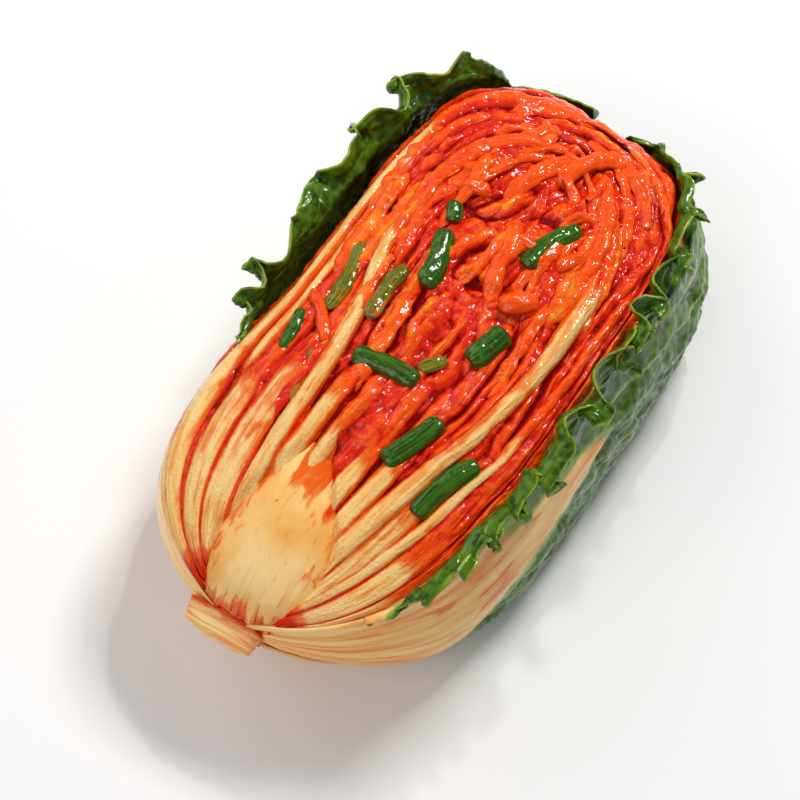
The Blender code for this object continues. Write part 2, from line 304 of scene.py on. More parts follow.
class Finish:
    """A Principled material and short words for the nodes that drive it."""

    def __init__(self, name):
        self.material = bpy.data.materials.new(name)
        self.material.use_nodes = True
        self.nodes = self.material.node_tree.nodes
        self.shader = self.nodes["Principled BSDF"]

    def join(self, source, target):
        """Link a socket to the target, or set the target to a colour or number."""
        if isinstance(source, bpy.types.NodeSocket):
            self.material.node_tree.links.new(source, target)
        elif isinstance(source, (tuple, list)) and len(source) == 3 and target.type == "RGBA":
            target.default_value = (*source, 1.0)
        else:
            target.default_value = source

    def set(self, **sockets):
        """Set or link the shader's own sockets, with _ for each space in a name."""
        for words, value in sockets.items():
            self.join(value, self.shader.inputs[words.replace("_", " ")])

    def mark(self, name):
        """A number that the mesh carries at each point."""
        node = self.nodes.new("ShaderNodeAttribute")
        node.attribute_name = name
        return node.outputs["Fac"]

    def flow(self):
        """Place along a fold, across it, and a number for the fold, in millimetres."""
        node = self.nodes.new("ShaderNodeAttribute")
        node.attribute_name = "flow"
        return node.outputs["Vector"]

    def place(self):
        """Place in the object, in metres."""
        return self.nodes.new("ShaderNodeTexCoord").outputs["Object"]

    def stretch(self, vector, sizes):
        """The vector times a factor along each axis."""
        node = self.nodes.new("ShaderNodeVectorMath")
        node.operation = "MULTIPLY"
        self.join(vector, node.inputs[0])
        node.inputs[1].default_value = sizes
        return node.outputs[0]

    def clouds(self, vector, scale, detail=3.0, distortion=0.0):
        """Layered noise from 0 to 1, mostly near a half."""
        node = self.nodes.new("ShaderNodeTexNoise")
        self.join(vector, node.inputs["Vector"])
        node.inputs["Scale"].default_value = scale
        node.inputs["Detail"].default_value = detail
        node.inputs["Distortion"].default_value = distortion
        return node.outputs["Fac"]

    def cells(self, vector, scale):
        """The distance to the nearest of a set of scattered points."""
        node = self.nodes.new("ShaderNodeTexVoronoi")
        self.join(vector, node.inputs["Vector"])
        node.inputs["Scale"].default_value = scale
        return node.outputs["Distance"]

    def math(self, operation, a, b=0.0, clamp=False):
        """One sum of two numbers, kept from 0 to 1 where clamp is set."""
        node = self.nodes.new("ShaderNodeMath")
        node.operation = operation
        node.use_clamp = clamp
        self.join(a, node.inputs[0])
        self.join(b, node.inputs[1])
        return node.outputs[0]

    def between(self, value, low, high, start=0.0, end=1.0):
        """From start to end by a smooth step as the value goes from low to high."""
        node = self.nodes.new("ShaderNodeMapRange")
        node.interpolation_type = "SMOOTHSTEP"
        self.join(value, node.inputs["Value"])
        for words, number in (("From Min", low), ("From Max", high), ("To Min", start), ("To Max", end)):
            node.inputs[words].default_value = number
        return node.outputs["Result"]

    def mix(self, share, a, b):
        """The colour a where share is 0, b where it is 1."""
        node = self.nodes.new("ShaderNodeMix")
        node.data_type = "RGBA"
        self.join(share, node.inputs["Factor"])
        self.join(a, node.inputs["A"])
        self.join(b, node.inputs["B"])
        return node.outputs["Result"]

    def bump(self, height, distance, strength):
        """A normal tilted by the slope of the height, which is distance metres for 1."""
        node = self.nodes.new("ShaderNodeBump")
        node.inputs["Distance"].default_value = distance
        node.inputs["Strength"].default_value = strength
        self.join(height, node.inputs["Height"])
        return node.outputs["Normal"]


def linear(colour):
    """A colour given by its screen values, as light values."""
    return tuple(c / 12.92 if c <= 0.04045 else ((c + 0.055) / 1.055) ** 2.4 for c in colour)


def set_wet(finish, roughness, coat, depth):
    """The wet surface: a clear coat, a specular level and light that goes a little way in."""
    finish.set(
        Roughness=roughness,
        Coat_Weight=coat,
        Coat_Roughness=0.07,
        Coat_IOR=1.45,
        Specular_IOR_Level=0.05,
        Subsurface_Weight=0.22,
        Subsurface_Scale=depth * MM,
        Subsurface_Radius=(1.0, 0.35, 0.12),
    )


def seasoned_finish(colours):
    """Cream stalk where pale is 1 and chilli-red leaf where it is 0, darker and redder in the creases as
    painted shade over the paste that gathers there, lighter on the ridges as a painted highlight, with
    streaks that follow the flow of each fold."""
    f = Finish("chilli_leaf")
    flow, pale, deep, tone = f.flow(), f.mark("pale"), f.mark("deep"), f.mark("tone")
    streaks = f.clouds(f.stretch(flow, (0.06, 0.42, 1.0)), 1.0, 3.0, 0.5)
    threads = f.clouds(f.stretch(flow, (0.16, 1.3, 1.0)), 1.0, 2.0, 0.3)
    patches = f.clouds(f.place(), 110.0, 3.0, 0.6)
    grit = f.clouds(f.place(), 900.0, 2.0)
    # light mixes random streaks and patches with a painted highlight where the tone mark is high on the ridge
    # tops and painted shade where the deep mark is high in the creases.
    light = f.math("ADD", f.math("MULTIPLY", streaks, 0.5), f.math("MULTIPLY", patches, 0.6))
    light = f.math("ADD", f.math("SUBTRACT", light, 0.16), f.math("MULTIPLY", tone, 0.22))
    light = f.math("SUBTRACT", light, f.math("MULTIPLY", deep, 1.1))
    red = f.mix(f.between(light, 0.02, 0.46), linear(colours.paste_red), linear(colours.ridge_orange))
    red = f.mix(f.between(light, 0.50, 0.84), red, linear(colours.ridge_highlight))
    # Painted shade: the darkest crease colour where the deep mark is high; paste also gathers there.
    red = f.mix(f.between(deep, 0.45, 0.85), red, linear(colours.crease_paste_and_shade))
    red = f.mix(f.between(threads, 0.58, 0.76, 0.0, 0.5), red, linear(colours.paste_red))
    cream = f.mix(f.between(streaks, 0.35, 0.7), linear(colours.stalk_cream), linear(colours.stalk_warm))
    # The stalks turn orange and then paste red where streaks and patches stain them, and also as painted
    # shade where the deep mark is high in the creases, where the cream gives way as well.
    stain_and_crease_shade = f.math("ADD", f.math("MULTIPLY", streaks, 0.55), f.math("MULTIPLY", patches, 0.55))
    stain_and_crease_shade = f.math("ADD", stain_and_crease_shade, f.math("MULTIPLY", deep, 1.1))
    cream = f.mix(f.between(stain_and_crease_shade, 0.66, 0.98), cream, linear(colours.stain_orange))
    cream = f.mix(f.between(stain_and_crease_shade, 1.05, 1.35), cream, linear(colours.paste_red))
    edge = f.math("ADD", pale, f.math("MULTIPLY", f.math("SUBTRACT", streaks, 0.5), 0.8))
    edge = f.math("SUBTRACT", edge, f.math("MULTIPLY", deep, 0.35))
    skin = f.mix(f.between(edge, 0.18, 0.40), red, linear(colours.stain_orange))
    f.set(Base_Color=f.mix(f.between(edge, 0.36, 0.62), skin, cream))
    grain = f.math("ADD", f.math("MULTIPLY", threads, 0.6), f.math("MULTIPLY", grit, 0.6))
    fine = f.bump(grain, 1.1 * MM, 0.8)
    wet = f.clouds(f.place(), 360.0, 1.0, 0.5)
    f.set(Normal=fine, Coat_Normal=f.bump(wet, 0.55 * MM, 0.8))
    set_wet(f, f.between(deep, 0.2, 0.8, 0.24, 0.6), f.between(deep, 0.3, 0.9, 0.8, 0.1), 0.8)
    return f.material


def stalk_finish(colours):
    """Smooth cream flesh with faint lengthwise veins and a few orange flecks and streaks."""
    f = Finish("stalk_flesh")
    flow, deep, tone = f.flow(), f.mark("deep"), f.mark("tone")
    veins = f.clouds(f.stretch(flow, (0.02, 0.45, 1.0)), 1.0, 3.0, 0.2)
    flecks = f.clouds(f.stretch(flow, (0.13, 0.42, 1.0)), 1.0, 2.0, 0.8)
    mottle = f.clouds(f.place(), 45.0, 3.0)
    cream = f.mix(f.between(mottle, 0.3, 0.7), linear(colours.stalk_cream), linear(colours.stalk_warm))
    cream = f.mix(f.between(veins, 0.55, 0.75, 0.0, 0.3), cream, linear(colours.vein_olive))
    soaked = f.math("ADD", flecks, f.math("MULTIPLY", deep, 0.5))
    cream = f.mix(f.between(soaked, 0.60, 0.84, 0.0, 0.9), cream, linear(colours.stain_orange))
    cream = f.mix(f.between(soaked, 0.86, 1.0), cream, linear(colours.paste_red))
    cream = f.mix(f.between(tone, 0.5, 1.0, 0.0, 0.8), cream, linear(colours.stain_orange))
    f.set(Base_Color=cream, Normal=f.bump(veins, 0.4 * MM, 0.2))
    f.set(Coat_Normal=f.bump(f.clouds(f.place(), 260.0, 2.0), 0.3 * MM, 0.25))
    set_wet(f, 0.34, 0.4, 3.0)
    return f.material


def green_finish(colours):
    """The outer leaves: cream stalk where green is 0, blade where it is 1, paler along the veins and
    yellower at the edges."""
    f = Finish("cabbage_green")
    flow, green, vein, deep, tone = f.flow(), f.mark("green"), f.mark("vein"), f.mark("deep"), f.mark("tone")
    ribs = f.clouds(f.stretch(flow, (0.025, 0.40, 1.0)), 1.0, 4.0, 0.2)
    stains = f.clouds(f.stretch(flow, (0.05, 0.36, 1.0)), 1.0, 3.0, 0.5)
    mottle = f.clouds(f.place(), 120.0, 4.0, 0.4)
    net = f.cells(f.place(), 330.0)
    blade = f.mix(f.between(mottle, 0.3, 0.7), linear(colours.leaf_dark), linear(colours.leaf_green))
    # Painted shade: the blade goes toward the dark green where the deep mark is high, in its hollows.
    blade = f.mix(f.math("MULTIPLY", deep, 0.55, clamp=True), blade, linear(colours.leaf_dark))
    blade = f.mix(f.between(net, 0.30, 0.75, 0.0, 0.35), blade, linear(colours.leaf_light))
    yellow = f.math("MULTIPLY", f.between(tone, 0.25, 1.0), f.between(mottle, 0.3, 0.6, 0.15, 0.8))
    blade = f.mix(yellow, blade, linear(colours.leaf_edge))
    blade = f.mix(f.between(vein, 0.3, 1.0, 0.0, 0.75), blade, linear(colours.leaf_vein))
    cream = f.mix(f.between(ribs, 0.3, 0.7), linear(colours.stalk_cream), linear(colours.stalk_warm))
    cream = f.mix(f.between(ribs, 0.48, 0.72, 0.0, 0.7), cream, linear(colours.stain_orange))
    cream = f.mix(f.between(stains, 0.54, 0.68, 0.0, 0.8), cream, linear(colours.stain_orange))
    pale_green = f.mix(0.5, linear(colours.leaf_light), linear(colours.leaf_vein))
    share = f.math("ADD", green, f.math("MULTIPLY", f.math("SUBTRACT", ribs, 0.5), 0.9))
    skin = f.mix(f.between(share, 0.12, 0.40), cream, pale_green)
    f.set(Base_Color=f.mix(f.between(share, 0.42, 0.85), skin, blade))
    height = f.math("ADD", f.math("MULTIPLY", mottle, 0.6), f.math("MULTIPLY", net, 0.5))
    height = f.math("ADD", f.math("MULTIPLY", height, green), f.math("MULTIPLY", ribs, 0.6))
    f.set(Normal=f.bump(height, 0.5 * MM, 0.6))
    f.set(Coat_Normal=f.bump(f.clouds(f.place(), 300.0, 3.0), 0.5 * MM, 0.5))
    set_wet(f, 0.36, 0.7, 1.0)
    return f.material


def skin_finish(name, dark, light, patch, colours):
    """A green skin with fine lengthwise ridges, patches of another colour, the crease red low down and
    dull cut ends. Low down is paste on the onions and painted shade under the olive strips."""
    f = Finish(name)
    flow, deep, tone = f.flow(), f.mark("deep"), f.mark("tone")
    ridges = f.clouds(f.stretch(flow, (0.06, 1.6, 1.0)), 1.0, 3.0)
    mottle = f.clouds(f.place(), 380.0, 3.0)
    broad = f.clouds(f.place(), 130.0, 2.0)
    skin = f.mix(f.between(ridges, 0.35, 0.7), linear(dark), linear(light))
    skin = f.mix(f.between(f.math("ADD", mottle, broad), 1.0, 1.35, 0.0, 0.75), skin, linear(patch))
    # Where the deep mark is high: paste on the onions, painted shade under the olive strips.
    pasted = f.math("ADD", deep, f.math("MULTIPLY", mottle, 0.5))
    skin = f.mix(f.between(pasted, 0.7, 1.2), skin, linear(colours.crease_paste_and_shade))
    skin = f.mix(f.math("MULTIPLY", tone, 0.6), skin, linear(colours.onion_dark))
    grain = f.math("ADD", ridges, f.math("MULTIPLY", f.clouds(f.place(), 900.0, 2.0), 0.6))
    f.set(Base_Color=skin, Normal=f.bump(grain, 0.4 * MM, 0.6))
    f.set(Coat_Normal=f.bump(f.clouds(f.place(), 420.0, 1.0), 0.45 * MM, 0.8))
    set_wet(f, 0.3, 0.9, 0.5)
    return f.material


# --- the cut face ----------------------------------------------------------------------------


class Fold:
    """One fold of leaf that runs along the cut face."""

    def __init__(
        self, share, half_width, height, pale, start, end, wander, skew, seed, knots=None, tone=0.5, smooth=0
    ):
        self.share = share
        self.half_width = half_width
        self.height = height
        self.pale = pale
        self.start, self.end = start, end
        self.wander = wander
        self.skew = skew
        self.seed = seed
        self.knots = knots
        self.tone = tone
        self.smooth = smooth

    def centre(self, sweep):
        """Its share along the sweep: a set value or a curve through knots, plus slow noise."""
        base = smooth_path(sweep, self.knots) if self.knots else self.share + 0.0 * sweep
        slow = self.wander * line_noise(sweep, 0.22, self.seed)
        return base + slow + 0.4 * self.wander * line_noise(sweep, 0.08, self.seed + 5)


ARCH_REACH = 0.70


def arch_folds(count, seed):
    """The main folds, evenly spread over the face with some play, and thinner ones that ride on them
    for part of the way."""
    draw = np.random.default_rng(seed)
    folds = []
    for n in range(count):
        share = 0.05 + (ROLL_SHARE - 0.09) * n / (count - 1)
        folds.append(
            Fold(
                share,
                draw.uniform(3.2, 5.2),
                draw.uniform(0.2, 2.2),
                (draw.uniform(-100.0, -78.0), draw.uniform(-55.0, -22.0)),
                -ARCH_REACH,
                ARCH_REACH,
                wander=0.02,
                skew=draw.uniform(-0.35, 0.35),
                seed=100 + 7 * n,
                tone=draw.uniform(0.2, 1.0),
            )
        )
    for n in range(5 * count // 2):
        share = draw.uniform(0.12, 1.02)
        start = draw.uniform(-0.64, 0.44)
        length = min(draw.uniform(0.12, 0.5), 0.66 - start)
        drift = draw.uniform(-0.09, 0.09)
        middle = start + length / 2.0
        folds.append(
            Fold(
                share,
                draw.uniform(1.5, 3.8),
                draw.uniform(1.0, 3.2),
                (draw.uniform(-90.0, -60.0), draw.uniform(-50.0, -10.0)),
                start,
                start + length,
                wander=0.018,
                skew=draw.uniform(-0.4, 0.4),
                seed=900 + 11 * n,
                knots=((start - 0.01, share - drift), (middle, share), (start + length, share + drift)),
                tone=draw.uniform(0.0, 1.0),
            )
        )
    return folds


# Long ribs that stand out: each is a curve of sweep and share. The root is at sweep -1 and 1.
LEFT_RIB = (
    ((-0.98, 0.90), (-0.80, 0.97), (-0.60, 1.00), (-0.45, 0.97))
    + ((-0.30, 0.93), (-0.16, 0.90), (0.0, 0.88))
)
LEFT_RIB_INNER = ((-0.95, 0.80), (-0.75, 0.86), (-0.55, 0.90), (-0.40, 0.88), (-0.25, 0.84), (-0.1, 0.8))
BRANCH_RIB = (
    ((-0.90, 0.36), (-0.72, 0.38), (-0.62, 0.43), (-0.52, 0.53))
    + ((-0.42, 0.63), (-0.33, 0.66), (-0.2, 0.62), (0.0, 0.55))
)
RIGHT_RIB = (
    ((0.10, 0.52), (0.25, 0.60), (0.36, 0.66), (0.46, 0.64))
    + ((0.55, 0.56), (0.66, 0.46), (0.76, 0.40), (0.92, 0.38))
)
RIGHT_RIB_OUTER = ((0.30, 0.86), (0.45, 0.84), (0.60, 0.76), (0.75, 0.66), (0.9, 0.6))
LEFT_EDGE = ((-0.99, 1.02), (-0.60, 1.07), (-0.30, 1.06), (-0.08, 1.03))
RIGHT_EDGE = ((0.30, 1.04), (0.70, 1.05), (0.99, 1.03))


def laid_folds():
    """The ribs and the fan of stalks that stand out on the face, placed one by one. Each row gives a
    fold's values in the order that Fold takes them."""
    folds = [
        Fold(0, 4.6, 2.8, (60.0, 88.0), -0.99, 0.02, 0.004, -0.2, 11, LEFT_RIB, 0.7, 1.0),
        Fold(0, 3.6, 2.0, (-20.0, 50.0), -0.66, -0.12, 0.006, 0.1, 12, LEFT_RIB_INNER, 0.8, 0.8),
        Fold(0, 4.2, 3.4, (12.0, 44.0), -0.92, 0.0, 0.004, 0.1, 13, BRANCH_RIB, 0.9, 1.0),
        Fold(0, 4.9, 3.7, (26.0, 62.0), 0.08, 0.96, 0.004, -0.1, 14, RIGHT_RIB, 0.9, 1.0),
        Fold(0, 3.0, 2.2, (-36.0, 4.0), 0.28, 0.95, 0.006, 0.1, 15, RIGHT_RIB_OUTER, 0.8, 0.7),
        Fold(0, 3.4, 1.7, (-70.0, -12.0), -0.99, -0.08, 0.004, 0.0, 16, LEFT_EDGE, 0.4, 0.8),
        Fold(0, 3.6, 1.5, (-104.0, -70.0), 0.3, 0.99, 0.004, 0.0, 17, RIGHT_EDGE, 0.4, 0.7),
    ]
    left_fan = ((0.80, 5.6, -34.0), (0.60, 6.4, -22.0))
    right_fan = ((0.60, 5.4, -44.0), (0.85, 6.6, -58.0))
    for n, (share, half_width, pale_end) in enumerate(left_fan):
        knots = ((-0.97, share - 0.10), (-0.82, share - 0.03), (-0.66, share), (-0.45, share + 0.01))
        pale = (pale_end - 26.0, pale_end)
        folds.append(Fold(0, half_width, 1.8, pale, -0.99, -0.42, 0.012, 0.1, 30 + n, knots, 0.8, 0.8))
    for n, (share, half_width, pale_end) in enumerate(right_fan):
        knots = ((0.45, share), (0.62, share - 0.01), (0.80, share - 0.03), (0.97, share - 0.08))
        pale = (pale_end - 30.0, pale_end)
        folds.append(Fold(0, half_width, 1.8, pale, 0.42, 0.99, 0.012, 0.1, 40 + n, knots, 0.8, 0.8))
    fingers = ((0.26, -0.94, -0.52, -24.0), (0.09, -0.95, -0.52, -34.0))
    for n, (share, start, end, pale_end) in enumerate(fingers):
        knots = ((start, share), (end, share + 0.02))
        pale = (pale_end - 30.0, pale_end)
        folds.append(Fold(0, 5.0, 2.4, pale, start, end, 0.01, 0.0, 50 + n, knots, 0.9, 0.7))
    right_fingers = ((0.12, 0.50, 0.95, -40.0), (0.29, 0.50, 0.95, -36.0))
    for n, (share, start, end, pale_end) in enumerate(right_fingers):
        knots = ((start, share + 0.02), (end, share))
        pale = (pale_end - 30.0, pale_end)
        folds.append(Fold(0, 4.8, 2.2, pale, start, end, 0.01, 0.0, 60 + n, knots, 0.9, 0.7))
    return folds


CREASE_FLOOR = -2.4
LAYER_COLUMNS = 52
HEART_COLUMNS = 68
UNDERSIDE = 7.0
CORE_BED = 3.0

# Left and right edges of the core's face, as pairs of y and x.
CORE_LEFT = (
    ((-121.0, -20.0), (-112.0, -26.0), (-100.0, -29.5), (-86.0, -28.5))
    + ((-73.0, -25.0), (-60.0, -21.0), (-46.0, -18.0))
)
CORE_RIGHT = (
    ((-121.0, 2.0), (-112.0, 9.0), (-100.0, 15.0), (-87.0, 15.5))
    + ((-75.0, 8.0), (-62.0, -2.0), (-46.0, -9.0))
)


def core_share(points):
    """1 well inside the core's outline, 0 outside it."""
    x, y = points[..., 0], points[..., 1]
    left, right = smooth_path(y, CORE_LEFT), smooth_path(y, CORE_RIGHT)
    inside = np.minimum(x - left, right - x)
    return ease(-0.5, 3.5, inside) * ease(-50.0, -66.0, y)


def billow(points, size, seed):
    """Rounded bumps with sharp creases between them: the size of noise, to the power 0.6."""
    return np.abs(noise(points, size, seed)) ** 0.6


def box_mean(values, rows, columns):
    """The mean of a grid over a window of rows by columns, by running sums along each axis."""
    for axis, reach in ((0, rows), (1, columns)):
        ends = [(0, 0), (0, 0)]
        ends[axis] = (reach + 1, reach)
        total = np.cumsum(np.pad(values, ends, mode="edge"), axis=axis)
        count = values.shape[axis]
        high = np.take(total, np.arange(2 * reach + 1, 2 * reach + 1 + count), axis=axis)
        low = np.take(total, np.arange(count), axis=axis)
        values = (high - low) / (2 * reach + 1)
    return values


def heart_share(points):
    """1 in the crumpled middle of the head, 0 outside it, with a wavering border."""
    x, y = points[..., 0], points[..., 1]
    radius = np.hypot((x - 3.0) / 33.0, (y - 50.0) / 47.0) + 0.16 * noise(points, 17.0, 61)
    return ease(1.05, 0.70, radius)


def crumple(points):
    """Height of the crumpled heart leaves: bumps of two sizes, drawn out lengthwise and bent by
    slow noise."""
    bend = np.stack([noise(points, 15.0, 71), noise(points, 15.0, 72), 0.0 * points[..., 0]], axis=-1)
    bent = points + 5.5 * bend
    turned = bent @ np.array([[0.93, 0.37, 0.0], [-0.37, 0.93, 0.0], [0.0, 0.0, 1.0]])
    big = billow(turned, (7.5, 17.0, 60.0), 73)
    middle = billow(turned, (3.6, 7.5, 60.0), 74)
    return 4.6 * big + 1.7 * middle - 2.9


def fold_relief(sweep, share, points, arc, folds):
    """Height of the folds over the face. Each fold is a rounded ridge, one minus the distance from its
    centre to the power 2.3, all to the power 0.6. The highest ridge wins, with its seam rounded. Bumps
    and wrinkles are added, fewest on the pale stalks, and the heart is crumpled instead. A stalk is
    less pale toward its edges, and on one side more so in some stretches than in others."""
    floor = CREASE_FLOOR * (0.15 + 0.85 * ease(-92.0, -30.0, points[..., 1]))
    height = floor + 0.0 * share
    offset, owner = np.zeros(share.shape), np.zeros(share.shape)
    pale, tone, smooth = np.zeros(share.shape), np.full(share.shape, 0.4), np.zeros(share.shape)
    y = points[..., 1]
    upper = ease(-80.0, -20.0, y)
    bent = share + upper * (0.066 * noise(points, 23.0, 9) + 0.030 * noise(points, 9.0, 10))
    for number, fold in enumerate(folds):
        steady = 0.35 if fold.smooth > 0.6 else 1.0
        bent_share = share + steady * (bent - share)
        distance = (bent_share - fold.centre(sweep)) * HALF_WIDTH / fold.half_width
        distance = distance + fold.skew * (1.0 - np.minimum(distance**2, 1.0))
        if not (np.abs(distance) < 1.0).any():
            continue
        ridge = np.clip(1.0 - np.abs(distance) ** 2.3, 0.0, 1.0) ** 0.6
        fade = ease(fold.start, fold.start + 0.07, sweep) * (1.0 - ease(fold.end - 0.07, fold.end, sweep))
        swell = 1.0 + 0.45 * (1.0 - 0.7 * fold.smooth) * line_noise(sweep, 0.05, fold.seed + 3)
        candidate = floor + (fold.height * swell - floor) * ridge * fade
        gap = candidate - height
        wins = gap > 0.0
        height = np.maximum(height, candidate) + np.clip(0.5 - np.abs(gap), 0.0, None) ** 2 / 2.0
        offset = np.where(wins, distance * fold.half_width, offset)
        owner = np.where(wins, number * 13.7, owner)
        soak = np.clip(0.6 + 0.8 * line_noise(sweep, 0.09, fold.seed + 8), 0.0, 1.0)
        soaked_side = distance * np.sign(fold.seed % 2 - 0.5)
        rim = ease(0.35, 1.0, soaked_side) * soak + ease(0.75, 1.0, np.abs(distance)) * 0.8
        paleness = (1.0 - ease(fold.pale[0], fold.pale[1], y)) * (1.0 - 0.9 * np.clip(rim, 0.0, 1.0))
        pale = np.where(wins, paleness, pale)
        tone = np.where(wins, fold.tone, tone)
        smooth = np.where(wins, fold.smooth, smooth)
    rough = (1.0 - 0.85 * pale) * (1.0 - 0.4 * smooth)
    flow = np.stack([arc + 0.0 * offset, offset, owner], axis=-1)
    height = height + rough * 1.5 * (billow(flow, (17.0, 3.0, 1.0), 3) - 0.5)
    height = height + rough * 0.5 * noise(flow, (4.5, 1.7, 1.0), 4) + 0.10 * noise(flow, (6.0, 0.7, 1.0), 11)
    heart = heart_share(points) * (1.0 - 0.6 * smooth)
    height = height * (1.0 - 0.85 * heart) + heart * (crumple(points) + 0.4)
    seam = ease(0.0, 0.10, share)
    height = height * seam + (1.0 - seam) * (0.6 * crumple(points) + 0.3)
    pale = pale * (0.3 + 0.7 * seam) * (1.0 - heart)
    lumps = 0.85 * noise(points, 6.5, 5) + 0.42 * noise(points, 3.0, 6) + 0.32 * noise(points, 1.6, 7)
    height = height + rough * lumps
    height = height + 1.2 * noise(points, 19.0, 8) * (1.0 - 0.7 * pale)
    return height, flow, pale, tone


def even_sweep(count):
    """Sweeps whose points are evenly spaced along the arch of share 0.75, and that arch's lengths."""
    fine = np.linspace(-0.995, 0.995, 6001)
    line = face_line(fine, np.full_like(fine, 0.75))
    lengths = np.concatenate([[0.0], np.cumsum(np.linalg.norm(np.diff(line, axis=0), axis=1))])
    arc = np.linspace(0.0, lengths[-1], count)
    return np.interp(arc, lengths, fine), arc


def face_surface(rows, folds):
    """The whole cut face as one grid: its upper points, its underside, and its marks. deep grows with
    the depth below the mean height round a point, as painted shade in the creases, and in two knots of
    paste beside the stub. The tone mark is a set value for each fold plus a painted highlight that grows
    with the height above that mean. The face is sunk under the core."""
    sweep, arc = even_sweep(rows)
    borders = LAYER_SHARES[::-1]
    spans = [np.linspace(borders[0], borders[1], HEART_COLUMNS)]
    spans += [np.linspace(low, high, LAYER_COLUMNS)[1:] for low, high in zip(borders[1:-1], borders[2:])]
    share = np.concatenate(spans)[None, :] + np.zeros((rows, 1))
    column = sweep[:, None]
    flat = face_line(column, share)
    height, flow, pale, tone = fold_relief(column, share, flat, arc[:, None], folds)
    normal = face_normals(flat)
    under = flat - normal * UNDERSIDE
    outward = np.clip((share - 0.97) / (ROLL_SHARE - 0.97), 0.0, 1.0) * np.sign(column) * 0.8
    normal[..., 0] += outward
    normal /= np.linalg.norm(normal, axis=-1, keepdims=True)
    root = ease(-116.0, -44.0, flat[..., 1])
    top = flat + normal * (height * (0.3 + 0.7 * root) - CORE_BED * core_share(flat))[..., None]
    # Painted shade: deep grows in the creases, below the mean height round a point.
    sunk = box_mean(height, 8, 14) - height
    deep = np.clip(ease(-1.1, 1.8, sunk) + 0.5 * ease(-0.6, -2.4, height), 0.0, 1.0)
    deep = deep * (0.40 + 0.60 * ease(-95.0, -40.0, flat[..., 1]))
    # Painted highlight: the tone mark grows on the ridge tops, above the mean height round a point.
    tone = np.clip(0.75 * tone + 1.3 * ease(0.5, 2.6, -sunk), 0.0, 2.0)
    from_middle = flat[..., 0] - middle_line(flat[..., 1]) + 14.0 * np.sign(-column)
    knot = ease(19.0, 7.0, np.hypot(from_middle, flat[..., 1] + 118.0))
    deep = np.maximum(deep, 0.75 * knot)
    return {"top": top, "under": under, "flow": flow, "pale": pale, "tone": tone, "deep": deep}


def face_layer(face, first, last):
    """The columns from first to last of the cut face, closed underneath."""
    top, flow = face["top"][:, first : last + 1], face["flow"][:, first : last + 1]
    ends = [last, first]
    rings = np.concatenate([top, face["under"][:, ends]], axis=1)
    marks = {}
    # The closed sides below the top get the full deep mark, painted shade, along with set pale and tone
    # marks.
    for name, under in (("pale", 0.0), ("deep", 1.0), ("tone", 0.3)):
        sides = np.full((len(top), 2), under)
        marks[name] = np.concatenate([face[name][:, first : last + 1], sides], axis=1)
    return loft(rings, np.concatenate([flow, face["flow"][:, ends]], axis=1), **marks)


# --- loose strips and curls ------------------------------------------------------------------


def tube(path, half_width, height, seed, rows_per_mm=1.7, around=22, pale=0.0, tone=0.6, lean=0.0, rough=1.0):
    """A limp strip of leaf: a closed cross-section, wider than it is high, carried along a path of
    points and drawn to nothing at both ends, with lengthwise wrinkles and lumps."""
    path = np.asarray(path, float)
    steps = np.concatenate([[0.0], np.cumsum(np.linalg.norm(np.diff(path, axis=0), axis=1))])
    rows = max(14, int(steps[-1] * rows_per_mm))
    arc = np.linspace(0.0, steps[-1], rows)
    line = np.stack([np.interp(arc, steps, path[:, n]) for n in range(3)], axis=-1)
    ahead = np.gradient(line, axis=0)
    ahead /= np.linalg.norm(ahead, axis=-1, keepdims=True)
    up = face_normals(line)
    side = np.cross(ahead, up)
    side /= np.linalg.norm(side, axis=-1, keepdims=True)
    up = np.cross(side, ahead)
    t = np.linspace(0.0, 1.0, rows)
    ends = np.clip(np.minimum(t, 1.0 - t) * steps[-1] / (1.6 * half_width), 0.0, 1.0)
    ends = np.sqrt(1.0 - (1.0 - ends) ** 2)
    angle = np.linspace(0.0, TURN, around, endpoint=False)[None, :]
    swell = 1.0 + 0.25 * line_noise(arc, 9.0, seed)[:, None]
    across = np.cos(angle) * half_width * swell * ends[:, None]
    lift = np.where(np.sin(angle) > 0.0, 1.0, 0.55) * np.sin(angle) * height * swell * ends[:, None]
    lift = lift + lean * across
    points = line[:, None] + side[:, None] * across[..., None] + up[:, None] * lift[..., None]
    girth = half_width * np.sin(angle / 2.0) * 3.0
    flow = np.stack(np.broadcast_arrays(arc[:, None], girth, seed * 3.3), axis=-1)
    bumps = 0.25 * noise(flow, (6.0, 1.5, 1.0), seed)
    bumps = bumps + 0.55 * noise(points, 4.0, 5) + 0.30 * noise(points, 1.8, 7)
    out = np.stack([np.cos(angle) + 0.0 * across, np.sin(angle) + 0.0 * across], axis=-1)
    bumps = bumps * rough * np.minimum(1.0, ends * 1.2)[:, None]
    points = points + bumps[..., None] * (side[:, None] * out[..., :1] + up[:, None] * out[..., 1:])
    # Painted shade: the underside is marked deep, so it goes darker and redder. Painted highlight: the upper
    # side gets a higher tone mark, so it goes lighter.
    deep = ease(0.7, -0.6, np.sin(angle) + 0.35 * noise(points, 5.0, 12))
    tone = tone * (0.4 + 0.8 * ease(0.2, 1.0, np.sin(angle) + 0.4 * noise(flow, (9.0, 2.2, 1.0), seed + 2)))
    return loft(points, flow, pale=pale + 0.0 * across, deep=deep, tone=tone)


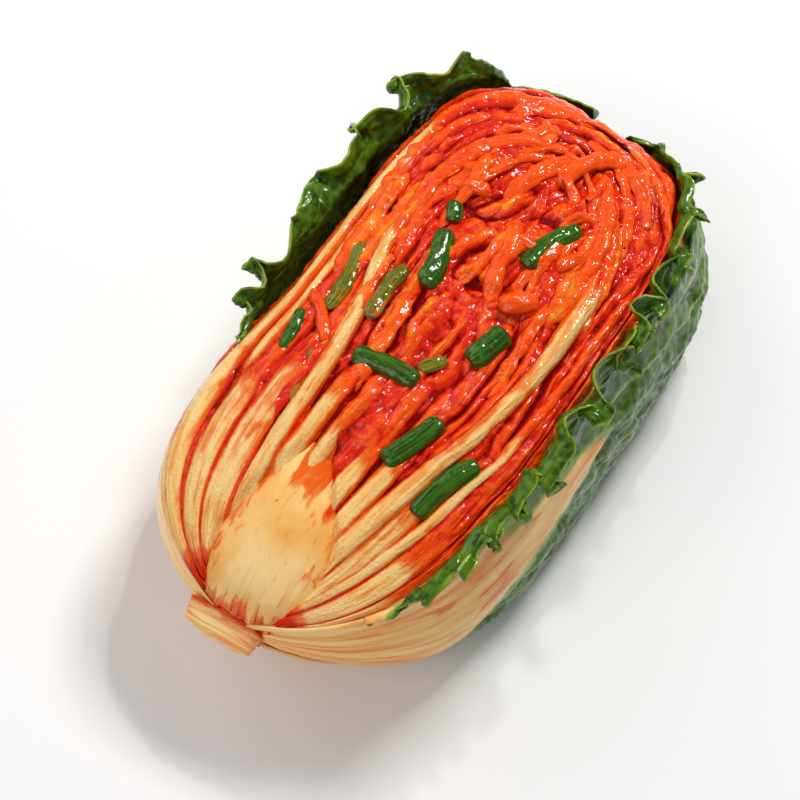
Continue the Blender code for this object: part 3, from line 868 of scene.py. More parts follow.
def loose_strips(count, seed):
    """Long limp leaf edges that lie over the folds, each along its own arch for part of the way."""
    draw = np.random.default_rng(seed)
    parts = []
    for n in range(count):
        share = draw.uniform(0.22, 1.0)
        start = draw.uniform(-0.62, 0.35)
        sweep = np.linspace(start, start + draw.uniform(0.12, 0.34), 60)
        t = np.linspace(0.0, 1.0, 60)
        wave = share + draw.uniform(-0.09, 0.09) * (t - 0.5) + 0.02 * line_noise(t, 0.25, 300 + n)
        path = face_line(sweep, wave)
        rise = draw.uniform(1.9, 3.1) * np.sin(np.pi * t) ** 0.7 - 1.4
        path[:, 2] += rise
        width, height = draw.uniform(1.6, 3.6), draw.uniform(0.9, 1.8)
        tone, lean = draw.uniform(0.2, 1.0), draw.uniform(-0.25, 0.25)
        parts.append(tube(path, width, height, 400 + n, tone=tone, lean=lean, rough=1.5))
    return parts


def heart_curls(count, seed):
    """Short thick curls in the middle of the head, bent to and fro."""
    draw = np.random.default_rng(seed)
    parts = []
    for n in range(count):
        x, y = draw.uniform(-24.0, 30.0), draw.uniform(16.0, 92.0)
        heading = draw.normal(1.2, 0.5)
        length = draw.uniform(12.0, 34.0)
        bend = draw.uniform(-1.4, 1.4) / length
        t = np.linspace(-0.5, 0.5, 40) * length
        angle = heading + bend * t
        step = length / 39.0
        xs = x + np.cumsum(np.cos(angle)) * step - np.cos(angle).sum() * step / 2.0
        ys = y + np.cumsum(np.sin(angle)) * step - np.sin(angle).sum() * step / 2.0
        rise = draw.uniform(1.8, 3.4) * np.cos(np.linspace(-1.5, 1.5, 40)) - 1.5
        path = np.stack([xs, ys, cut_face(xs, ys) + rise], axis=-1)
        width, height = draw.uniform(2.2, 4.4), draw.uniform(1.5, 2.4)
        tone, lean = draw.uniform(0.1, 1.0), draw.uniform(-0.2, 0.2)
        parts.append(tube(path, width, height, 600 + n, tone=tone, lean=lean, rough=1.7))
    return parts


# --- the core and the head's skin ------------------------------------------------------------

def core_body(rows=230, around=150):
    """The pale wedge: between its two edges the face is domed by one minus the sixth power of the way
    to the edge. It rounds down at the root and thins out under the folds at the other end."""
    t = np.linspace(0.0, 1.0, rows)
    y = -120.5 + 74.5 * t
    left, right = smooth_path(y, CORE_LEFT), smooth_path(y, CORE_RIGHT)
    start = np.sqrt(np.clip(1.0 - (1.0 - np.clip(t / 0.08, 0.0, 1.0)) ** 2, 0.0, 1.0))
    end = np.sqrt(np.clip(1.0 - (1.0 - np.clip((1.0 - t) / 0.30, 0.0, 1.0)) ** 2, 0.0, 1.0))
    half = (right - left) / 2.0 * (0.35 + 0.65 * start) * (0.3 + 0.7 * end)
    middle = (right + left) / 2.0
    angle = np.linspace(0.0, TURN, around, endpoint=False)[None, :]
    across = np.sign(np.cos(angle)) * np.abs(np.cos(angle)) ** 0.85
    x = middle[:, None] + half[:, None] * across
    level = crown(y) + 1.0 * ease(-120.0, -104.0, y) - 2.8 * ease(-84.0, -50.0, y)
    level = level - 5.0 * (1.0 - start)
    base = level[:, None] - FACE_FALL * ((x - middle_line(y)[:, None]) / HALF_WIDTH) ** 2
    dome = 1.0 - np.abs(across) ** 4
    top = base - 3.0 * (1.0 - dome)
    z = np.where(np.sin(angle) >= 0.0, top, top - 13.0 * np.abs(np.sin(angle)) ** 0.7 * start[:, None])
    rings = np.stack(np.broadcast_arrays(x, y[:, None], z), axis=-1)
    flow = np.stack([y[:, None] + 0.0 * x, x * 1.0, 0.0 * x + 2.0], axis=-1)
    veins = 0.22 * noise(flow, (60.0, 2.4, 1.0), 21) + 0.30 * noise(rings, 17.0, 22)
    rings[..., 2] += veins * (np.sin(angle) > 0.0) * dome
    fray = ease(-90.0, -58.0, y)[:, None] * ease(-0.1, 0.5, noise(flow, (30.0, 4.4, 1.0), 23))
    streaks = 0.5 + 0.9 * noise(flow, (40.0, 9.0, 1.0), 24)
    rim = 0.7 * ease(0.55, 1.0, np.abs(across)) * streaks + 0.8 * ease(0.90, 1.0, np.abs(across))
    deep = np.clip(rim + 0.9 * fray + ease(-110.0, -119.0, y)[:, None], 0.0, 1.0)
    return loft(rings, flow, pale=1.0, deep=deep, tone=ease(0.2, 0.7, fray))


def stub_body(rows=70, around=120):
    """The root stub: a half-round slab with a cut end that slopes, ribbed across by its fibres."""
    t = np.linspace(0.0, 1.0, rows)[:, None]
    angle = np.linspace(0.0, TURN, around, endpoint=False)[None, :]
    rim = np.sqrt(1.0 - (np.clip(1.0 - t / 0.18, 0.0, 1.0)) ** 2)
    y = -125.4 + 8.0 * t
    half_width = (13.6 + 1.6 * t) * (0.55 + 0.45 * rim)
    x = -11.4 + half_width * np.sign(np.cos(angle)) * np.abs(np.cos(angle)) ** 0.7
    roof = 43.0 + 4.0 * t**0.8
    hollow = -(8.0 + 2.0 * t) * np.abs(np.sin(angle)) ** 0.8
    z = roof + np.where(np.sin(angle) > 0.0, 0.6 * np.sin(angle), hollow) * (0.6 + 0.4 * rim)
    z = z - 1.6 * np.abs(np.cos(angle)) ** 6
    rings = np.stack(np.broadcast_arrays(x, y, z), axis=-1)
    flow = np.stack([x + 0.0 * z, 1.6 * y + 0.0 * z + 0.6 * z, 0.0 * z + 5.0], axis=-1)
    rings[..., 2] += 0.35 * noise(flow, (30.0, 0.9, 1.0), 31)
    rings[..., 1] += 0.4 * noise(flow, (9.0, 1.2, 1.0), 32)
    deep = np.clip(ease(0.60, 1.0, t) + ease(0.04, 0.0, t) * 0.3 + 0.0 * z, 0.0, 1.0)
    return loft(rings, flow, pale=1.0, deep=deep, tone=0.62 + 0.25 * noise(flow, (14.0, 1.6, 1.0), 33))


def skin_body(rows=330, around=240):
    """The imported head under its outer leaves, closed on top a little below the cut face: stalks that
    run lengthwise at the root and wrinkled seasoned leaf at the tips."""
    along = np.linspace(-0.985, 0.985, rows)[:, None]
    angle = np.linspace(0.0, TURN, around, endpoint=False)[None, :]
    points = place(along, np.minimum(angle, math.pi), 0.985) * (angle < math.pi)[..., None]
    lid_share = np.cos(angle)
    lid = place(along, np.where(lid_share > 0, 0.0, math.pi) + 0.0 * along, np.abs(lid_share) * 0.985)
    lid[..., 2] -= 5.0 * np.sqrt(np.abs(np.sin(angle))) * np.ones_like(along)
    points = np.where((angle < math.pi)[..., None], points, lid)
    y = points[..., 1]
    girth = angle * 62.0 + 0.0 * along
    flow = np.stack([y, girth, 0.0 * y + 9.0], axis=-1)
    tip = ease(10.0, 95.0, y)
    stalks = np.abs(noise(flow, (150.0, 13.0, 1.0), 41)) ** 0.6
    relief = (1.0 - tip) * (1.6 * stalks + 0.35 * noise(flow, (70.0, 2.4, 1.0), 42))
    wrinkles = 1.8 * noise(flow, (30.0, 7.0, 1.0), 43) + 0.9 * noise(points, 5.0, 44)
    relief = relief + tip * (wrinkles + 0.35 * noise(flow, (8.0, 1.4, 1.0), 45))
    normal = surface_normals(points)
    middle = points.mean(axis=1, keepdims=True)
    facing = np.sign(np.sum(normal * (points - middle), axis=-1, keepdims=True).mean())
    shown = ((angle < math.pi) * np.sin(np.clip(angle, 0.0, math.pi)) ** 0.3)[..., None]
    points = points + normal * facing * shown * (relief - 1.7)[..., None]
    # Painted shade: the hollows of the stalks and wrinkles are marked deep.
    deep = ease(1.1, -0.6, relief)
    return loft(points, flow, pale=1.0 - tip, deep=deep * (0.4 + 0.6 * tip), tone=0.5 + 0.0 * y)


# --- the outer leaves ------------------------------------------------------------------------


def vein_lines(length, across, pitch, slope, seed):
    """1 on veins and 0 between: thin lines a pitch apart across the leaf, that drift across it by
    slope for each millimetre of length, and waver."""
    place_on = np.stack([length, across, 0.0 * length], axis=-1)
    shifted = (across - slope * length + 3.4 * noise(place_on, (26.0, 12.0, 1.0), seed)) / pitch
    nearness = np.abs(shifted - np.round(shifted)) * pitch
    return ease(0.9, 0.1, nearness) * ease(-0.5, 0.3, noise(place_on, (19.0, 8.0, 1.0), seed + 1))


def two_sided(outer, thickness, flow, **marks):
    """A leaf with both its faces: the outer grid, and the same grid moved in by the thickness along
    its normals, joined round the edges."""
    inner = outer - surface_normals(outer) * thickness[..., None]
    rings = np.concatenate([outer, inner[:, ::-1]], axis=1)
    both = {}
    for name, values in marks.items():
        full = values + 0.0 * thickness
        both[name] = np.concatenate([full, full[:, ::-1]], axis=1)
    return loft(rings, np.concatenate([flow, flow[:, ::-1]], axis=1), **both)


def side_leaf(side, span, frill, bends, pitch, rib_turn, seed, lower_turn=44.0, rows=430, columns=104):
    """A side leaf: from a frilled edge that stands over the rim, down the flank to a lower edge. The
    frill leaves the rim at one angle and curls outwards by an angle that grows with the distance from
    the rim and swings with the ruffles. The blade is folded lengthwise and puffed between its veins,
    and the stalk is a broad rib that narrows along the leaf. frill is the place where it starts, its
    length and its flare. bends are the lean at the rim, the curl, the swing and the lean lost toward
    the tips, in degrees. pitch is the length of a ruffle."""
    t = np.linspace(0.0, 1.0, rows)[:, None]
    u = np.linspace(0.0, 1.0, columns)[None, :]
    along = span[0] + (span[1] - span[0]) * t
    split = 0.42
    down = np.clip((u - split) / (1.0 - split), 0.0, 1.0)
    up = np.clip((split - u) / split, 0.0, 1.0)
    waver = 1.0 + 0.10 * line_noise(t, 0.06, seed + 1) + 0.08 * line_noise(t, 0.025, seed + 2)
    turn = math.radians(lower_turn) * down * waver
    turn = np.where(side > 0, turn, math.pi - turn)
    length = 112.0 * np.sin(along * math.pi / 2.0) + 0.0 * u
    frill_start, frill_length, flare = frill
    blade_up = ease(frill_start, frill_start + 26.0, length)
    gap = 0.5 + 2.1 * ease(-98.0, -60.0, length) + flare * (1.0 - down) ** 2 * blade_up
    base = place(along, turn, 1.0, gap)
    blade_down = ease(frill_start + 10.0, frill_start + 46.0, length)
    steady = np.stack([length, 0.0 * length, 0.0 * length], axis=-1)
    phase = TURN * (length / pitch + 0.75 * noise(steady, 1.5 * pitch, seed + 4))
    swing = np.sin(phase) + 0.4 * np.sin(2.3 * phase + 1.7) + 0.3 * noise(steady, 5.0, seed + 5)
    reach = frill_length * blade_up * (1.0 - 0.4 * ease(76.0, 110.0, length))
    rise = up * reach * (1.0 + 0.22 * line_noise(t, 0.045, seed + 3) + 0.05 * swing)
    ruffled = up * swing * (0.25 + 0.75 * ease(-62.0, -22.0, length))
    lean, curl, ruffle_bend, tip_lean = bends
    bend = lean - tip_lean * ease(10.0, 72.0, length) + curl * up**1.6 + ruffle_bend * ruffled
    bend = np.radians(bend)
    step = np.gradient(rise, axis=1)
    out = -np.cumsum((np.sin(bend) * step)[:, ::-1], axis=1)[:, ::-1]
    lift = -np.cumsum((np.cos(bend) * step)[:, ::-1], axis=1)[:, ::-1]
    slide = 0.34 * rise * np.cos(phase + 0.5) + 0.14 * rise * np.cos(2.3 * phase)
    points = base.copy()
    points[..., 0] += side * out
    points[..., 1] += slide
    points[..., 2] += lift
    girth = np.where(side > 0, turn, math.pi - turn) * 58.0 - rise
    across = girth - math.radians(rib_turn) * 58.0
    rib_width = 27.0 * (1.0 - ease(-108.0, -30.0, length)) + 0.01
    rib_width = rib_width + 7.0 * (1.0 - ease(-50.0, frill_start + 140.0, length))
    stalk = ease(1.7, 0.5, np.abs(across) / rib_width) * ease(0.6, 3.0, rib_width)
    # On the left leaf the green starts later the lower it is.
    lag = 34.0 if side < 0.0 else 0.0
    green_up = ease(frill_start - 0.3 * lag, frill_start + 26.0 + lag, length - lag / 28.0 * across)
    toward_edge = np.where(across < 0.0, green_up, blade_down)
    green = np.clip((1.0 - stalk) * ease(0.0, 0.6, toward_edge), 0.0, 1.0)
    green = np.maximum(green, ease(0.6, 2.6, rise))
    edge = np.clip(ease(0.90, 1.0, up) + ease(0.96, 1.0, down), 0.0, 1.0) * ease(0.1, 0.5, green)
    lower = ease(0.55, 1.0, down)
    ruffle = (2.8 * noise(steady, 6.5, seed + 6) + 1.4) * lower**2 * blade_down
    normal = surface_normals(points)
    facing = np.sign(np.mean(normal[:, columns * 2 // 3 :, 0] * side))
    normal = normal * facing
    flow = np.stack([length, across, 0.0 * length + seed], axis=-1)
    puffs = billow(flow, (13.0, 6.0, 1.0), seed + 7) + 0.55 * billow(flow, (6.5, 3.0, 1.0), seed + 8)
    veins = vein_lines(length, across, 8.5, 0.16, seed + 9)
    veins = veins + 0.5 * vein_lines(length, across, 3.9, -0.22, seed + 10)
    veins = np.clip(veins, 0.0, 1.0) * green
    folds = 2.2 * noise(flow, (38.0, 8.5, 1.0), seed + 16) + 1.1 * noise(points, 9.0, seed + 17)
    relief = green * (1.7 * puffs - 1.2 + folds) + 0.35 * veins + 0.45 * noise(points, 2.0, seed + 11) * green
    ribbing = 0.75 * noise(flow, (90.0, 5.5, 1.0), seed + 12)
    ribbing = ribbing + 0.16 * noise(flow, (50.0, 1.6, 1.0), seed + 13)
    bulge = 1.9 * np.clip(1.0 - (across / rib_width) ** 2, 0.0, 1.0) * ease(40.0, 8.0, rib_width) * stalk
    relief = relief + (1.0 - green) * ribbing + bulge + ruffle
    relief = relief + 1.2 * noise(points, 24.0, seed + 14) * ease(0.0, 0.4, t)
    points = points + normal * relief[..., None]
    thickness = 0.8 + 1.2 * (1.0 - green) * ease(1.0, 0.7, down)
    # Painted shade: deep is high in the hollows between the puffs and in the low parts of the folds.
    deep = np.clip(ease(0.6, 0.1, puffs) * 0.7 + ease(0.3, -1.4, folds), 0.0, 1.0) * green
    stained = ease(0.2, 0.9, noise(flow, (22.0, 5.0, 1.0), seed + 15))
    tone = np.clip(edge + 0.4 * stained * ease(0.3, 0.6, green) * ease(0.62, 0.3, green), 0.0, 1.0)
    return two_sided(points, thickness * facing, flow, green=green, vein=veins, deep=deep, tone=tone)


def back_leaf(rows=260, columns=120, seed=700):
    """The leaf that the head lies on, flat where it rests, ruffled along its two side edges."""
    t = np.linspace(0.0, 1.0, rows)[:, None]
    u = np.linspace(-1.0, 1.0, columns)[None, :]
    along = -0.86 + 1.74 * t
    half_turn = math.radians(47.0) * (0.8 + 0.2 * ease(0.1, 0.5, t))
    half_turn = half_turn * (1.0 + 0.06 * line_noise(t, 0.05, seed))
    turn = math.pi / 2.0 - half_turn * u
    lap = ease(0.55, 0.85, np.abs(u))
    points = place(along, turn, 1.0, gap=1.2 + ease(-80.0, -30.0, 112.0 * along))
    normal = surface_normals(points)
    facing = -np.sign(normal[rows // 2, columns // 2, 2])
    normal = normal * facing
    length = 112.0 * np.sin(along * math.pi / 2.0) + 0.0 * u
    across = u * 52.0 + 0.0 * t
    rib_width = 3.0 + 46.0 * (1.0 - ease(-105.0, 20.0, length)) ** 1.3
    stalk = ease(1.2, 0.8, np.abs(across) / rib_width)
    green = (1.0 - stalk) * ease(-70.0, -30.0, length)
    flow = np.stack([length, across, 0.0 * length + seed], axis=-1)
    puffs = np.abs(noise(points, 8.0, seed + 1)) ** 0.6 + 0.4 * np.abs(noise(points, 3.6, seed + 2)) ** 0.7
    edge = np.abs(u) ** 5 * green
    waves = noise(np.stack([length, 30.0 * np.sign(u) + 0.0 * t, 0.0 * length], axis=-1), 7.0, seed + 3)
    relief = green * (1.2 * puffs - 0.6) + edge * (2.2 + 3.0 * waves)
    relief = relief + 1.6 * lap * (1.0 - edge) * ease(-70.0, -10.0, length)
    relief = relief + (1.0 - green) * (0.4 * noise(flow, (80.0, 3.0, 1.0), seed + 4) + 0.3)
    points = points + normal * relief[..., None]
    thickness = 1.0 + 0.0 * green
    points[..., 2] = np.maximum(points[..., 2], 0.15 + 0.25 * ease(0.0, 4.0, points[..., 2]))
    veins = vein_lines(length, across, 13.0, 0.1, seed + 5) * green
    tone = np.clip(ease(0.9, 1.0, np.abs(u)) * green, 0.0, 1.0)
    # Painted shade: deep is high in the hollows between the puffs.
    deep = ease(0.5, 0.0, puffs) * green
    return two_sided(points, thickness * facing, flow, green=green, vein=veins, deep=deep, tone=tone)


# --- toppings --------------------------------------------------------------------------------

ONION_SINK = 1.4

# Name, heading in degrees, length, radius and sideways bow of each spring onion piece.
ONIONS = (
    ("onion_1", -75.0, 24.0, 3.9, 1.2),
    ("onion_2", -109.0, 26.0, 3.7, -0.8),
    ("onion_3", -104.0, 17.5, 4.4, 0.3),
    ("onion_4", 4.8, 25.5, 3.7, 0.8),
    ("onion_5", -110.0, 25.0, 3.9, 0.4),
    ("onion_6", -107.0, 29.0, 3.7, -1.0),
    ("onion_7", -83.0, 18.0, 2.8, 0.3),
    ("onion_8", -69.0, 9.0, 3.0, 0.0),
)

# The same for the sticks and lumps of radish, with their height as a share of their width.
RADISHES = (
    ("radish_1", -45.0, 24.0, 2.3, 1.4, 0.9),
    ("radish_2", 42.0, 15.0, 5.0, 0.4, 0.85),
    ("radish_3", 66.0, 12.0, 3.2, 0.2, 0.9),
)

# The same for the olive strips of leaf.
STRIPS = (
    ("leaf_strip_1", -82.0, 31.0, 3.6, 1.6, 0.55),
    ("leaf_strip_2", -90.0, 25.0, 3.6, -1.0, 0.55),
    ("leaf_strip_3", -79.0, 22.0, 2.4, 0.6, 0.7),
    ("leaf_strip_4", -131.0, 11.0, 2.8, 0.2, 0.6),
)


def topping_path(node, heading, length, bow, lift=0.0, steps=40):
    """A bowed line through the middle of a node's box, at the face's slope."""
    middle = box_middle(node) - ORIGIN
    turned = math.radians(heading)
    t = np.linspace(-0.5, 0.5, steps)
    sag = bow * (1.0 - 4.0 * t**2)
    xs = middle[0] + math.cos(turned) * length * t - math.sin(turned) * sag
    ys = middle[1] + math.sin(turned) * length * t + math.cos(turned) * sag
    zs = middle[2] + cut_face(xs, ys) - cut_face(middle[0], middle[1]) + lift
    return np.stack([xs, ys, zs], axis=-1)


def onion_body(path, radius, seed, around=48, rows=110):
    """A piece of spring onion: a slightly flattened tube with fine ridges. Its ends are cut square and
    rounded at the edge."""
    steps = np.concatenate([[0.0], np.cumsum(np.linalg.norm(np.diff(path, axis=0), axis=1))])
    t = 0.5 - 0.5 * np.cos(np.linspace(0.0, math.pi, rows))
    arc = t * steps[-1]
    line = np.stack([np.interp(arc, steps, path[:, n]) for n in range(3)], axis=-1)
    ahead = np.gradient(path, axis=0)
    ahead = np.stack([np.interp(arc, steps, ahead[:, n]) for n in range(3)], axis=-1)
    ahead /= np.linalg.norm(ahead, axis=-1, keepdims=True)
    up = np.array([0.0, 0.0, 1.0]) - ahead * ahead[:, 2:]
    up /= np.linalg.norm(up, axis=-1, keepdims=True)
    side = np.cross(ahead, up)
    from_end = np.minimum(arc, steps[-1] - arc)
    rim = 0.75 * radius
    ends = np.where(from_end < rim, np.sqrt(np.clip(1.0 - (1.0 - from_end / rim) ** 2, 0.0, 1.0)), 1.0)
    ends = 0.5 + 0.5 * ends
    ends[0] = ends[-1] = 0.3
    angle = np.linspace(0.0, TURN, around, endpoint=False)[None, :]
    girth = 3.0 * radius * np.sin(angle / 2.0)
    flow = np.stack(np.broadcast_arrays(arc[:, None], girth, seed * 5.1), axis=-1)
    dents = 1.0 + 0.09 * np.cos(2.0 * angle + line_noise(arc, 11.0, seed)[:, None] * 2.5)
    ridges = 0.12 * noise(flow, (9.0, 1.0, 1.0), seed) + 0.26 * noise(flow, (2.4, 1.5, 1.0), seed + 1)
    swell = 1.0 + 0.13 * line_noise(arc, 9.0, seed + 2)[:, None]
    reach = (radius * dents * swell + ridges) * ends[:, None]
    flat = np.where(np.sin(angle) > 0.0, 0.92, 0.9)
    points = line[:, None] + side[:, None] * (np.cos(angle) * reach)[..., None]
    points = points + up[:, None] * (flat * np.sin(angle) * reach)[..., None]
    tone = ease(1.2, 0.2, from_end)[:, None] + 0.0 * angle
    deep = ease(0.35, -0.4, np.sin(angle)) + 0.0 * arc[:, None]
    deep = np.maximum(deep, 0.7 * ease(2.4, 0.2, from_end)[:, None])
    return loft(points, flow, deep=deep, tone=tone * 0.7)


# --- properties ------------------------------------------------------------------------------


def colour(name, description, screen):
    """A colour property whose default is given by its screen values."""
    return FloatVectorProperty(
        name=name, description=description, default=screen, size=3, min=0.0, max=1.0, subtype="COLOR_GAMMA"
    )


class KimchiColours(bpy.types.PropertyGroup):
    """Colours, as screen values from 0 to 1."""

    paste_red: colour("Paste red", "Chilli paste on the leaves", (0.87, 0.12, 0.0))
    # The ridge colours come where the painted highlight on the fold tops is high, and also in light streaks
    # and patches.
    ridge_orange: colour("Ridge orange", "Seasoned leaf on top of a fold", (0.98, 0.33, 0.0))
    # Painted highlight: the lightest colour, on the ridge tops.
    ridge_highlight: colour("Ridge light", "The lightest part of a seasoned fold", (1.0, 0.57, 0.11))
    # Paste in the creases, darkened as painted shade.
    crease_paste_and_shade: colour("Crease red", "Chilli paste deep between the folds", (0.52, 0.02, 0.0))
    stalk_cream: colour("Stalk cream", "Clean stalk", (0.98, 0.82, 0.53))
    stalk_warm: colour("Stalk warm", "Stalk that has taken some colour", (0.95, 0.68, 0.33))
    vein_olive: colour("Vein olive", "Faint veins in the core", (0.80, 0.70, 0.25))
    stain_orange: colour("Stain orange", "Thin paste over a stalk", (0.92, 0.38, 0.02))
    leaf_green: colour("Leaf green", "Blade of an outer leaf", (0.27, 0.46, 0.05))
    # Dark green of the blade in its mottle, and painted shade in its hollows.
    leaf_dark: colour("Leaf dark", "Hollows of an outer leaf", (0.09, 0.25, 0.01))
    leaf_light: colour("Leaf light", "Fine net of a blade", (0.44, 0.58, 0.12))
    leaf_edge: colour("Leaf edge", "Thin edge of a blade", (0.60, 0.68, 0.12))
    leaf_vein: colour("Leaf vein", "Veins of an outer leaf", (0.66, 0.74, 0.34))
    onion_green: colour("Onion green", "Skin of the spring onion", (0.25, 0.44, 0.05))
    olive_light: colour("Olive light", "Olive strips of leaf", (0.56, 0.52, 0.08))
    olive_dark: colour("Olive dark", "Grooves of the olive strips", (0.28, 0.34, 0.03))
    onion_dark: colour("Onion dark", "Grooves of the spring onion", (0.11, 0.26, 0.02))


class KimchiSizes(bpy.types.PropertyGroup):
    """How the folds are made."""

    arch_count: IntProperty(
        name="Main folds", description="Main folds from the middle to the rim", default=9, min=4, max=40
    )
    strip_count: IntProperty(
        name="Loose strips", description="Limp strips lying over the folds", default=22, min=0, max=60
    )
    curl_count: IntProperty(
        name="Heart curls", description="Short curls in the middle", default=20, min=0, max=90
    )
    rows: IntProperty(
        name="Rows", description="Rows of points along the cut face", default=1300, min=100, max=3000
    )
    frill_length: FloatProperty(
        name="Frill length", description="How far the frills of the side leaves reach past the rim",
        default=0.0125, min=0.0, max=0.03, unit="LENGTH",
    )


class KimchiStage(bpy.types.PropertyGroup):
    """Camera and light."""

    elevation: FloatProperty(
        name="Elevation", description="Camera angle over the floor",
        default=math.radians(64.0), subtype="ANGLE",
    )
    azimuth: FloatProperty(
        name="Azimuth", description="Camera angle round the head",
        default=math.radians(33.2), subtype="ANGLE",
    )
    distance: FloatProperty(name="Distance", description="Camera to the head", default=1.1, unit="LENGTH")
    lens: FloatProperty(name="Lens", description="Focal length in millimetres", default=135.6, min=10.0)
    key_power: FloatProperty(
        name="Key power", description="Strength of the main light", default=15.0, min=0.0
    )
    sky: FloatProperty(name="Sky", description="Strength of the even light all round", default=0.22, min=0.0)


# --- operators -------------------------------------------------------------------------------


class BuildFace(bpy.types.Operator):
    """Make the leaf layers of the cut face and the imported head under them"""

    bl_idname = "kimchi.build_face"
    bl_label = "Cut face"

    def execute(self, context):
        sizes = context.scene.kimchi_sizes
        finish = seasoned_finish(context.scene.kimchi_colours)
        face = face_surface(sizes.rows, arch_folds(sizes.arch_count, 5) + laid_folds())
        last = face["deep"].shape[1] - 1
        for number in range(1, 5):
            node = f"leaf_layer_{number}"
            layer = face_layer(face, last - LAYER_COLUMNS + 1, last)
            make_piece(f"{node}_folds", [layer], finish, "seasoned_leaf", node)
            last -= LAYER_COLUMNS - 1
        make_piece("heart_folds", [face_layer(face, 0, last)], finish, "seasoned_heart", "heart")
        make_piece("packed_head_skin", [skin_body()], finish, "seasoned_leaf")
        make_piece("loose_leaf_strips", loose_strips(sizes.strip_count, 8), finish, "seasoned_leaf")
        make_piece("heart_curls", heart_curls(sizes.curl_count, 12), finish, "seasoned_heart")
        return {"FINISHED"}


class BuildCore(bpy.types.Operator):
    """Make the pale core and the root stub"""

    bl_idname = "kimchi.build_core"
    bl_label = "Core"

    def execute(self, context):
        finish = stalk_finish(context.scene.kimchi_colours)
        make_piece("core_and_stub", [core_body(), stub_body()], finish, "pale_stalk", "core")
        return {"FINISHED"}


class BuildOuterLeaves(bpy.types.Operator):
    """Make the three outer leaves"""

    bl_idname = "kimchi.build_outer_leaves"
    bl_label = "Outer leaves"

    def execute(self, context):
        finish = green_finish(context.scene.kimchi_colours)
        frill = context.scene.kimchi_sizes.frill_length / MM
        right = side_leaf(
            side=1.0,
            span=(-0.93, 0.93),
            frill=(-92.0, 1.4 * frill, 0.0),
            bends=(-34.0, 150.0, 50.0, 24.0),
            pitch=15.0,
            rib_turn=9.0,
            seed=500,
        )
        make_piece("right_outer_leaf", [right], finish, "green_leaf", "outer_leaf_right")
        left = side_leaf(
            side=-1.0,
            span=(-0.92, 0.95),
            frill=(-36.0, frill, 6.4),
            bends=(18.0, 34.0, 50.0, 0.0),
            pitch=25.0,
            rib_turn=26.0,
            seed=560,
        )
        make_piece("left_outer_leaf", [left], finish, "green_leaf", "outer_leaf_left")
        make_piece("back_outer_leaf", [back_leaf()], finish, "green_leaf", "outer_leaf_back")
        return {"FINISHED"}


class BuildToppings(bpy.types.Operator):
    """Make the spring onion, radish and olive leaf pieces"""

    bl_idname = "kimchi.build_toppings"
    bl_label = "Toppings"

    def execute(self, context):
        colours = context.scene.kimchi_colours
        greens = (colours.onion_dark, colours.onion_green, colours.leaf_green)
        olives = (colours.olive_dark, colours.olive_light, colours.stain_orange)
        onion = skin_finish("onion_skin", *greens, colours)
        olive = skin_finish("olive_skin", *olives, colours)
        red = bpy.data.materials["chilli_leaf"]
        for number, (node, heading, length, radius, bow) in enumerate(ONIONS):
            path = topping_path(node, heading, length, 1.6 * bow, -ONION_SINK)
            body = onion_body(path, radius, 800 + number)
            make_piece(f"spring_{node}", [body], onion, "spring_onion", node)
        for number, (node, heading, length, width, bow, height) in enumerate(RADISHES):
            path = topping_path(node, heading, length, bow)
            body = tube(path, width, width * height, 840 + number, 3.0, 40, tone=0.0)
            make_piece(f"seasoned_{node}", [body], red, "radish", node)
        for number, (node, heading, length, width, bow, height) in enumerate(STRIPS):
            path = topping_path(node, heading, length, bow)
            body = tube(path, width, width * height, 860 + number, 3.0, 40, tone=0.0, rough=0.9)
            make_piece(f"olive_{node}", [body], olive, "olive_leaf", node)
        return {"FINISHED"}


# Name, metres to the right, away and up, size in metres, and share of the main power.
LIGHTS = (
    ("key", 0.55, 0.65, 1.15, 0.34, 0.76),
    ("glint", 0.35, 0.80, 1.20, 0.07, 0.24),
    ("fill", -0.90, -0.90, 1.10, 1.20, 0.62),
    ("back", -1.00, 0.90, 1.10, 1.20, 0.36),
)


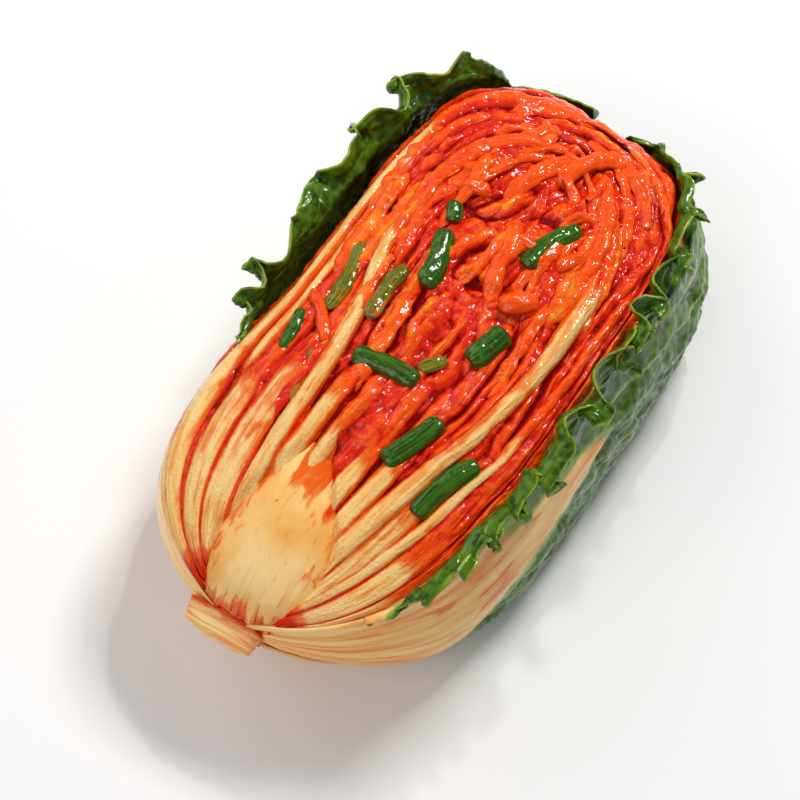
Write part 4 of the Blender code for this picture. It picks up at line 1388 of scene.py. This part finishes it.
class BuildStage(bpy.types.Operator):
    """Make the floor, the lights and the camera"""

    bl_idname = "kimchi.build_stage"
    bl_label = "Stage"

    def execute(self, context):
        scene, stage = context.scene, context.scene.kimchi_stage
        scene.view_settings.view_transform = "Standard"
        right = Vector((math.cos(stage.azimuth), math.sin(stage.azimuth), 0.0))
        back = Vector(
            (
                math.sin(stage.azimuth) * math.cos(stage.elevation),
                -math.cos(stage.azimuth) * math.cos(stage.elevation),
                math.sin(stage.elevation),
            )
        )
        up = back.cross(right)
        aim = Vector((0.0, 0.0, 0.045)) - right * 0.01095 - up * 0.0055
        camera = bpy.data.objects.new("camera", bpy.data.cameras.new("camera"))
        camera.data.lens = stage.lens
        camera.data.clip_start = 0.01
        camera.location = aim + back * stage.distance
        camera.rotation_euler = back.to_track_quat("Z", "Y").to_euler()
        scene.collection.objects.link(camera)
        scene.camera = camera

        away = Vector((-right.y, right.x, 0.0))
        for name, rightward, backward, height, size, share in LIGHTS:
            place_at = right * rightward + away * backward + Vector((0.0, 0.0, height))
            self.add_light(name, place_at, size, stage.key_power * share)

        world = bpy.data.worlds.new("sky")
        world.use_nodes = True
        world.node_tree.nodes["Background"].inputs["Color"].default_value = (1.0, 1.0, 1.0, 1.0)
        world.node_tree.nodes["Background"].inputs["Strength"].default_value = stage.sky
        scene.world = world

        rows = np.linspace(-3.0, 3.0, 31)
        grid = np.stack(np.meshgrid(rows, rows, indexing="ij") + [np.full((31, 31), -0.0002)], axis=-1)
        index = np.arange(31 * 31).reshape(31, 31)
        corners = [index[:-1, :-1], index[1:, :-1], index[1:, 1:], index[:-1, 1:]]
        faces = np.stack(corners, axis=-1).reshape(-1, 4)
        mesh = bpy.data.meshes.new("floor")
        mesh.from_pydata(grid.reshape(-1, 3).tolist(), [], faces.tolist())
        paper = Finish("white_paper")
        fibres = paper.clouds(paper.place(), 240.0, 4.0)
        paper.set(Base_Color=(0.93, 0.925, 0.92), Roughness=0.9, Normal=paper.bump(fibres, 0.00004, 0.2))
        mesh.materials.append(paper.material)
        floor = bpy.data.objects.new("floor", mesh)
        scene.collection.objects.link(floor)
        return {"FINISHED"}

    def add_light(self, name, place_at, size, power):
        """A square light that faces the middle of the floor."""
        light = bpy.data.lights.new(name, "AREA")
        light.size = size
        light.energy = power
        lamp = bpy.data.objects.new(name, light)
        lamp.location = place_at
        lamp.rotation_euler = Vector(place_at).to_track_quat("Z", "Y").to_euler()
        bpy.context.scene.collection.objects.link(lamp)


class KimchiPanel(bpy.types.Panel):
    """Buttons and values for each part of the kimchi"""

    bl_idname = "VIEW3D_PT_kimchi"
    bl_label = "Kimchi"
    bl_space_type = "VIEW_3D"
    bl_region_type = "UI"
    bl_category = "Kimchi"

    def draw(self, context):
        for operator in OPERATORS:
            self.layout.operator(operator.bl_idname)
        for group in (context.scene.kimchi_sizes, context.scene.kimchi_colours, context.scene.kimchi_stage):
            column = self.layout.column()
            for name in group.__annotations__:
                column.prop(group, name)


OPERATORS = (BuildFace, BuildCore, BuildOuterLeaves, BuildToppings, BuildStage)
GROUPS = (("kimchi_colours", KimchiColours), ("kimchi_sizes", KimchiSizes), ("kimchi_stage", KimchiStage))


def register():
    """Register the classes and hang the property groups on the scene."""
    for name, group in GROUPS:
        bpy.utils.register_class(group)
        setattr(bpy.types.Scene, name, PointerProperty(type=group))
    for operator in OPERATORS:
        bpy.utils.register_class(operator)
    bpy.utils.register_class(KimchiPanel)


def unregister():
    """Undo what register did, in reverse order."""
    bpy.utils.unregister_class(KimchiPanel)
    for operator in reversed(OPERATORS):
        bpy.utils.unregister_class(operator)
    for name, group in reversed(GROUPS):
        delattr(bpy.types.Scene, name)
        bpy.utils.unregister_class(group)


def main():
    """Register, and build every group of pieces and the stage."""
    register()
    bpy.ops.kimchi.build_face()
    bpy.ops.kimchi.build_core()
    bpy.ops.kimchi.build_outer_leaves()
    bpy.ops.kimchi.build_toppings()
    bpy.ops.kimchi.build_stage()


if __name__ == "__main__":
    main()
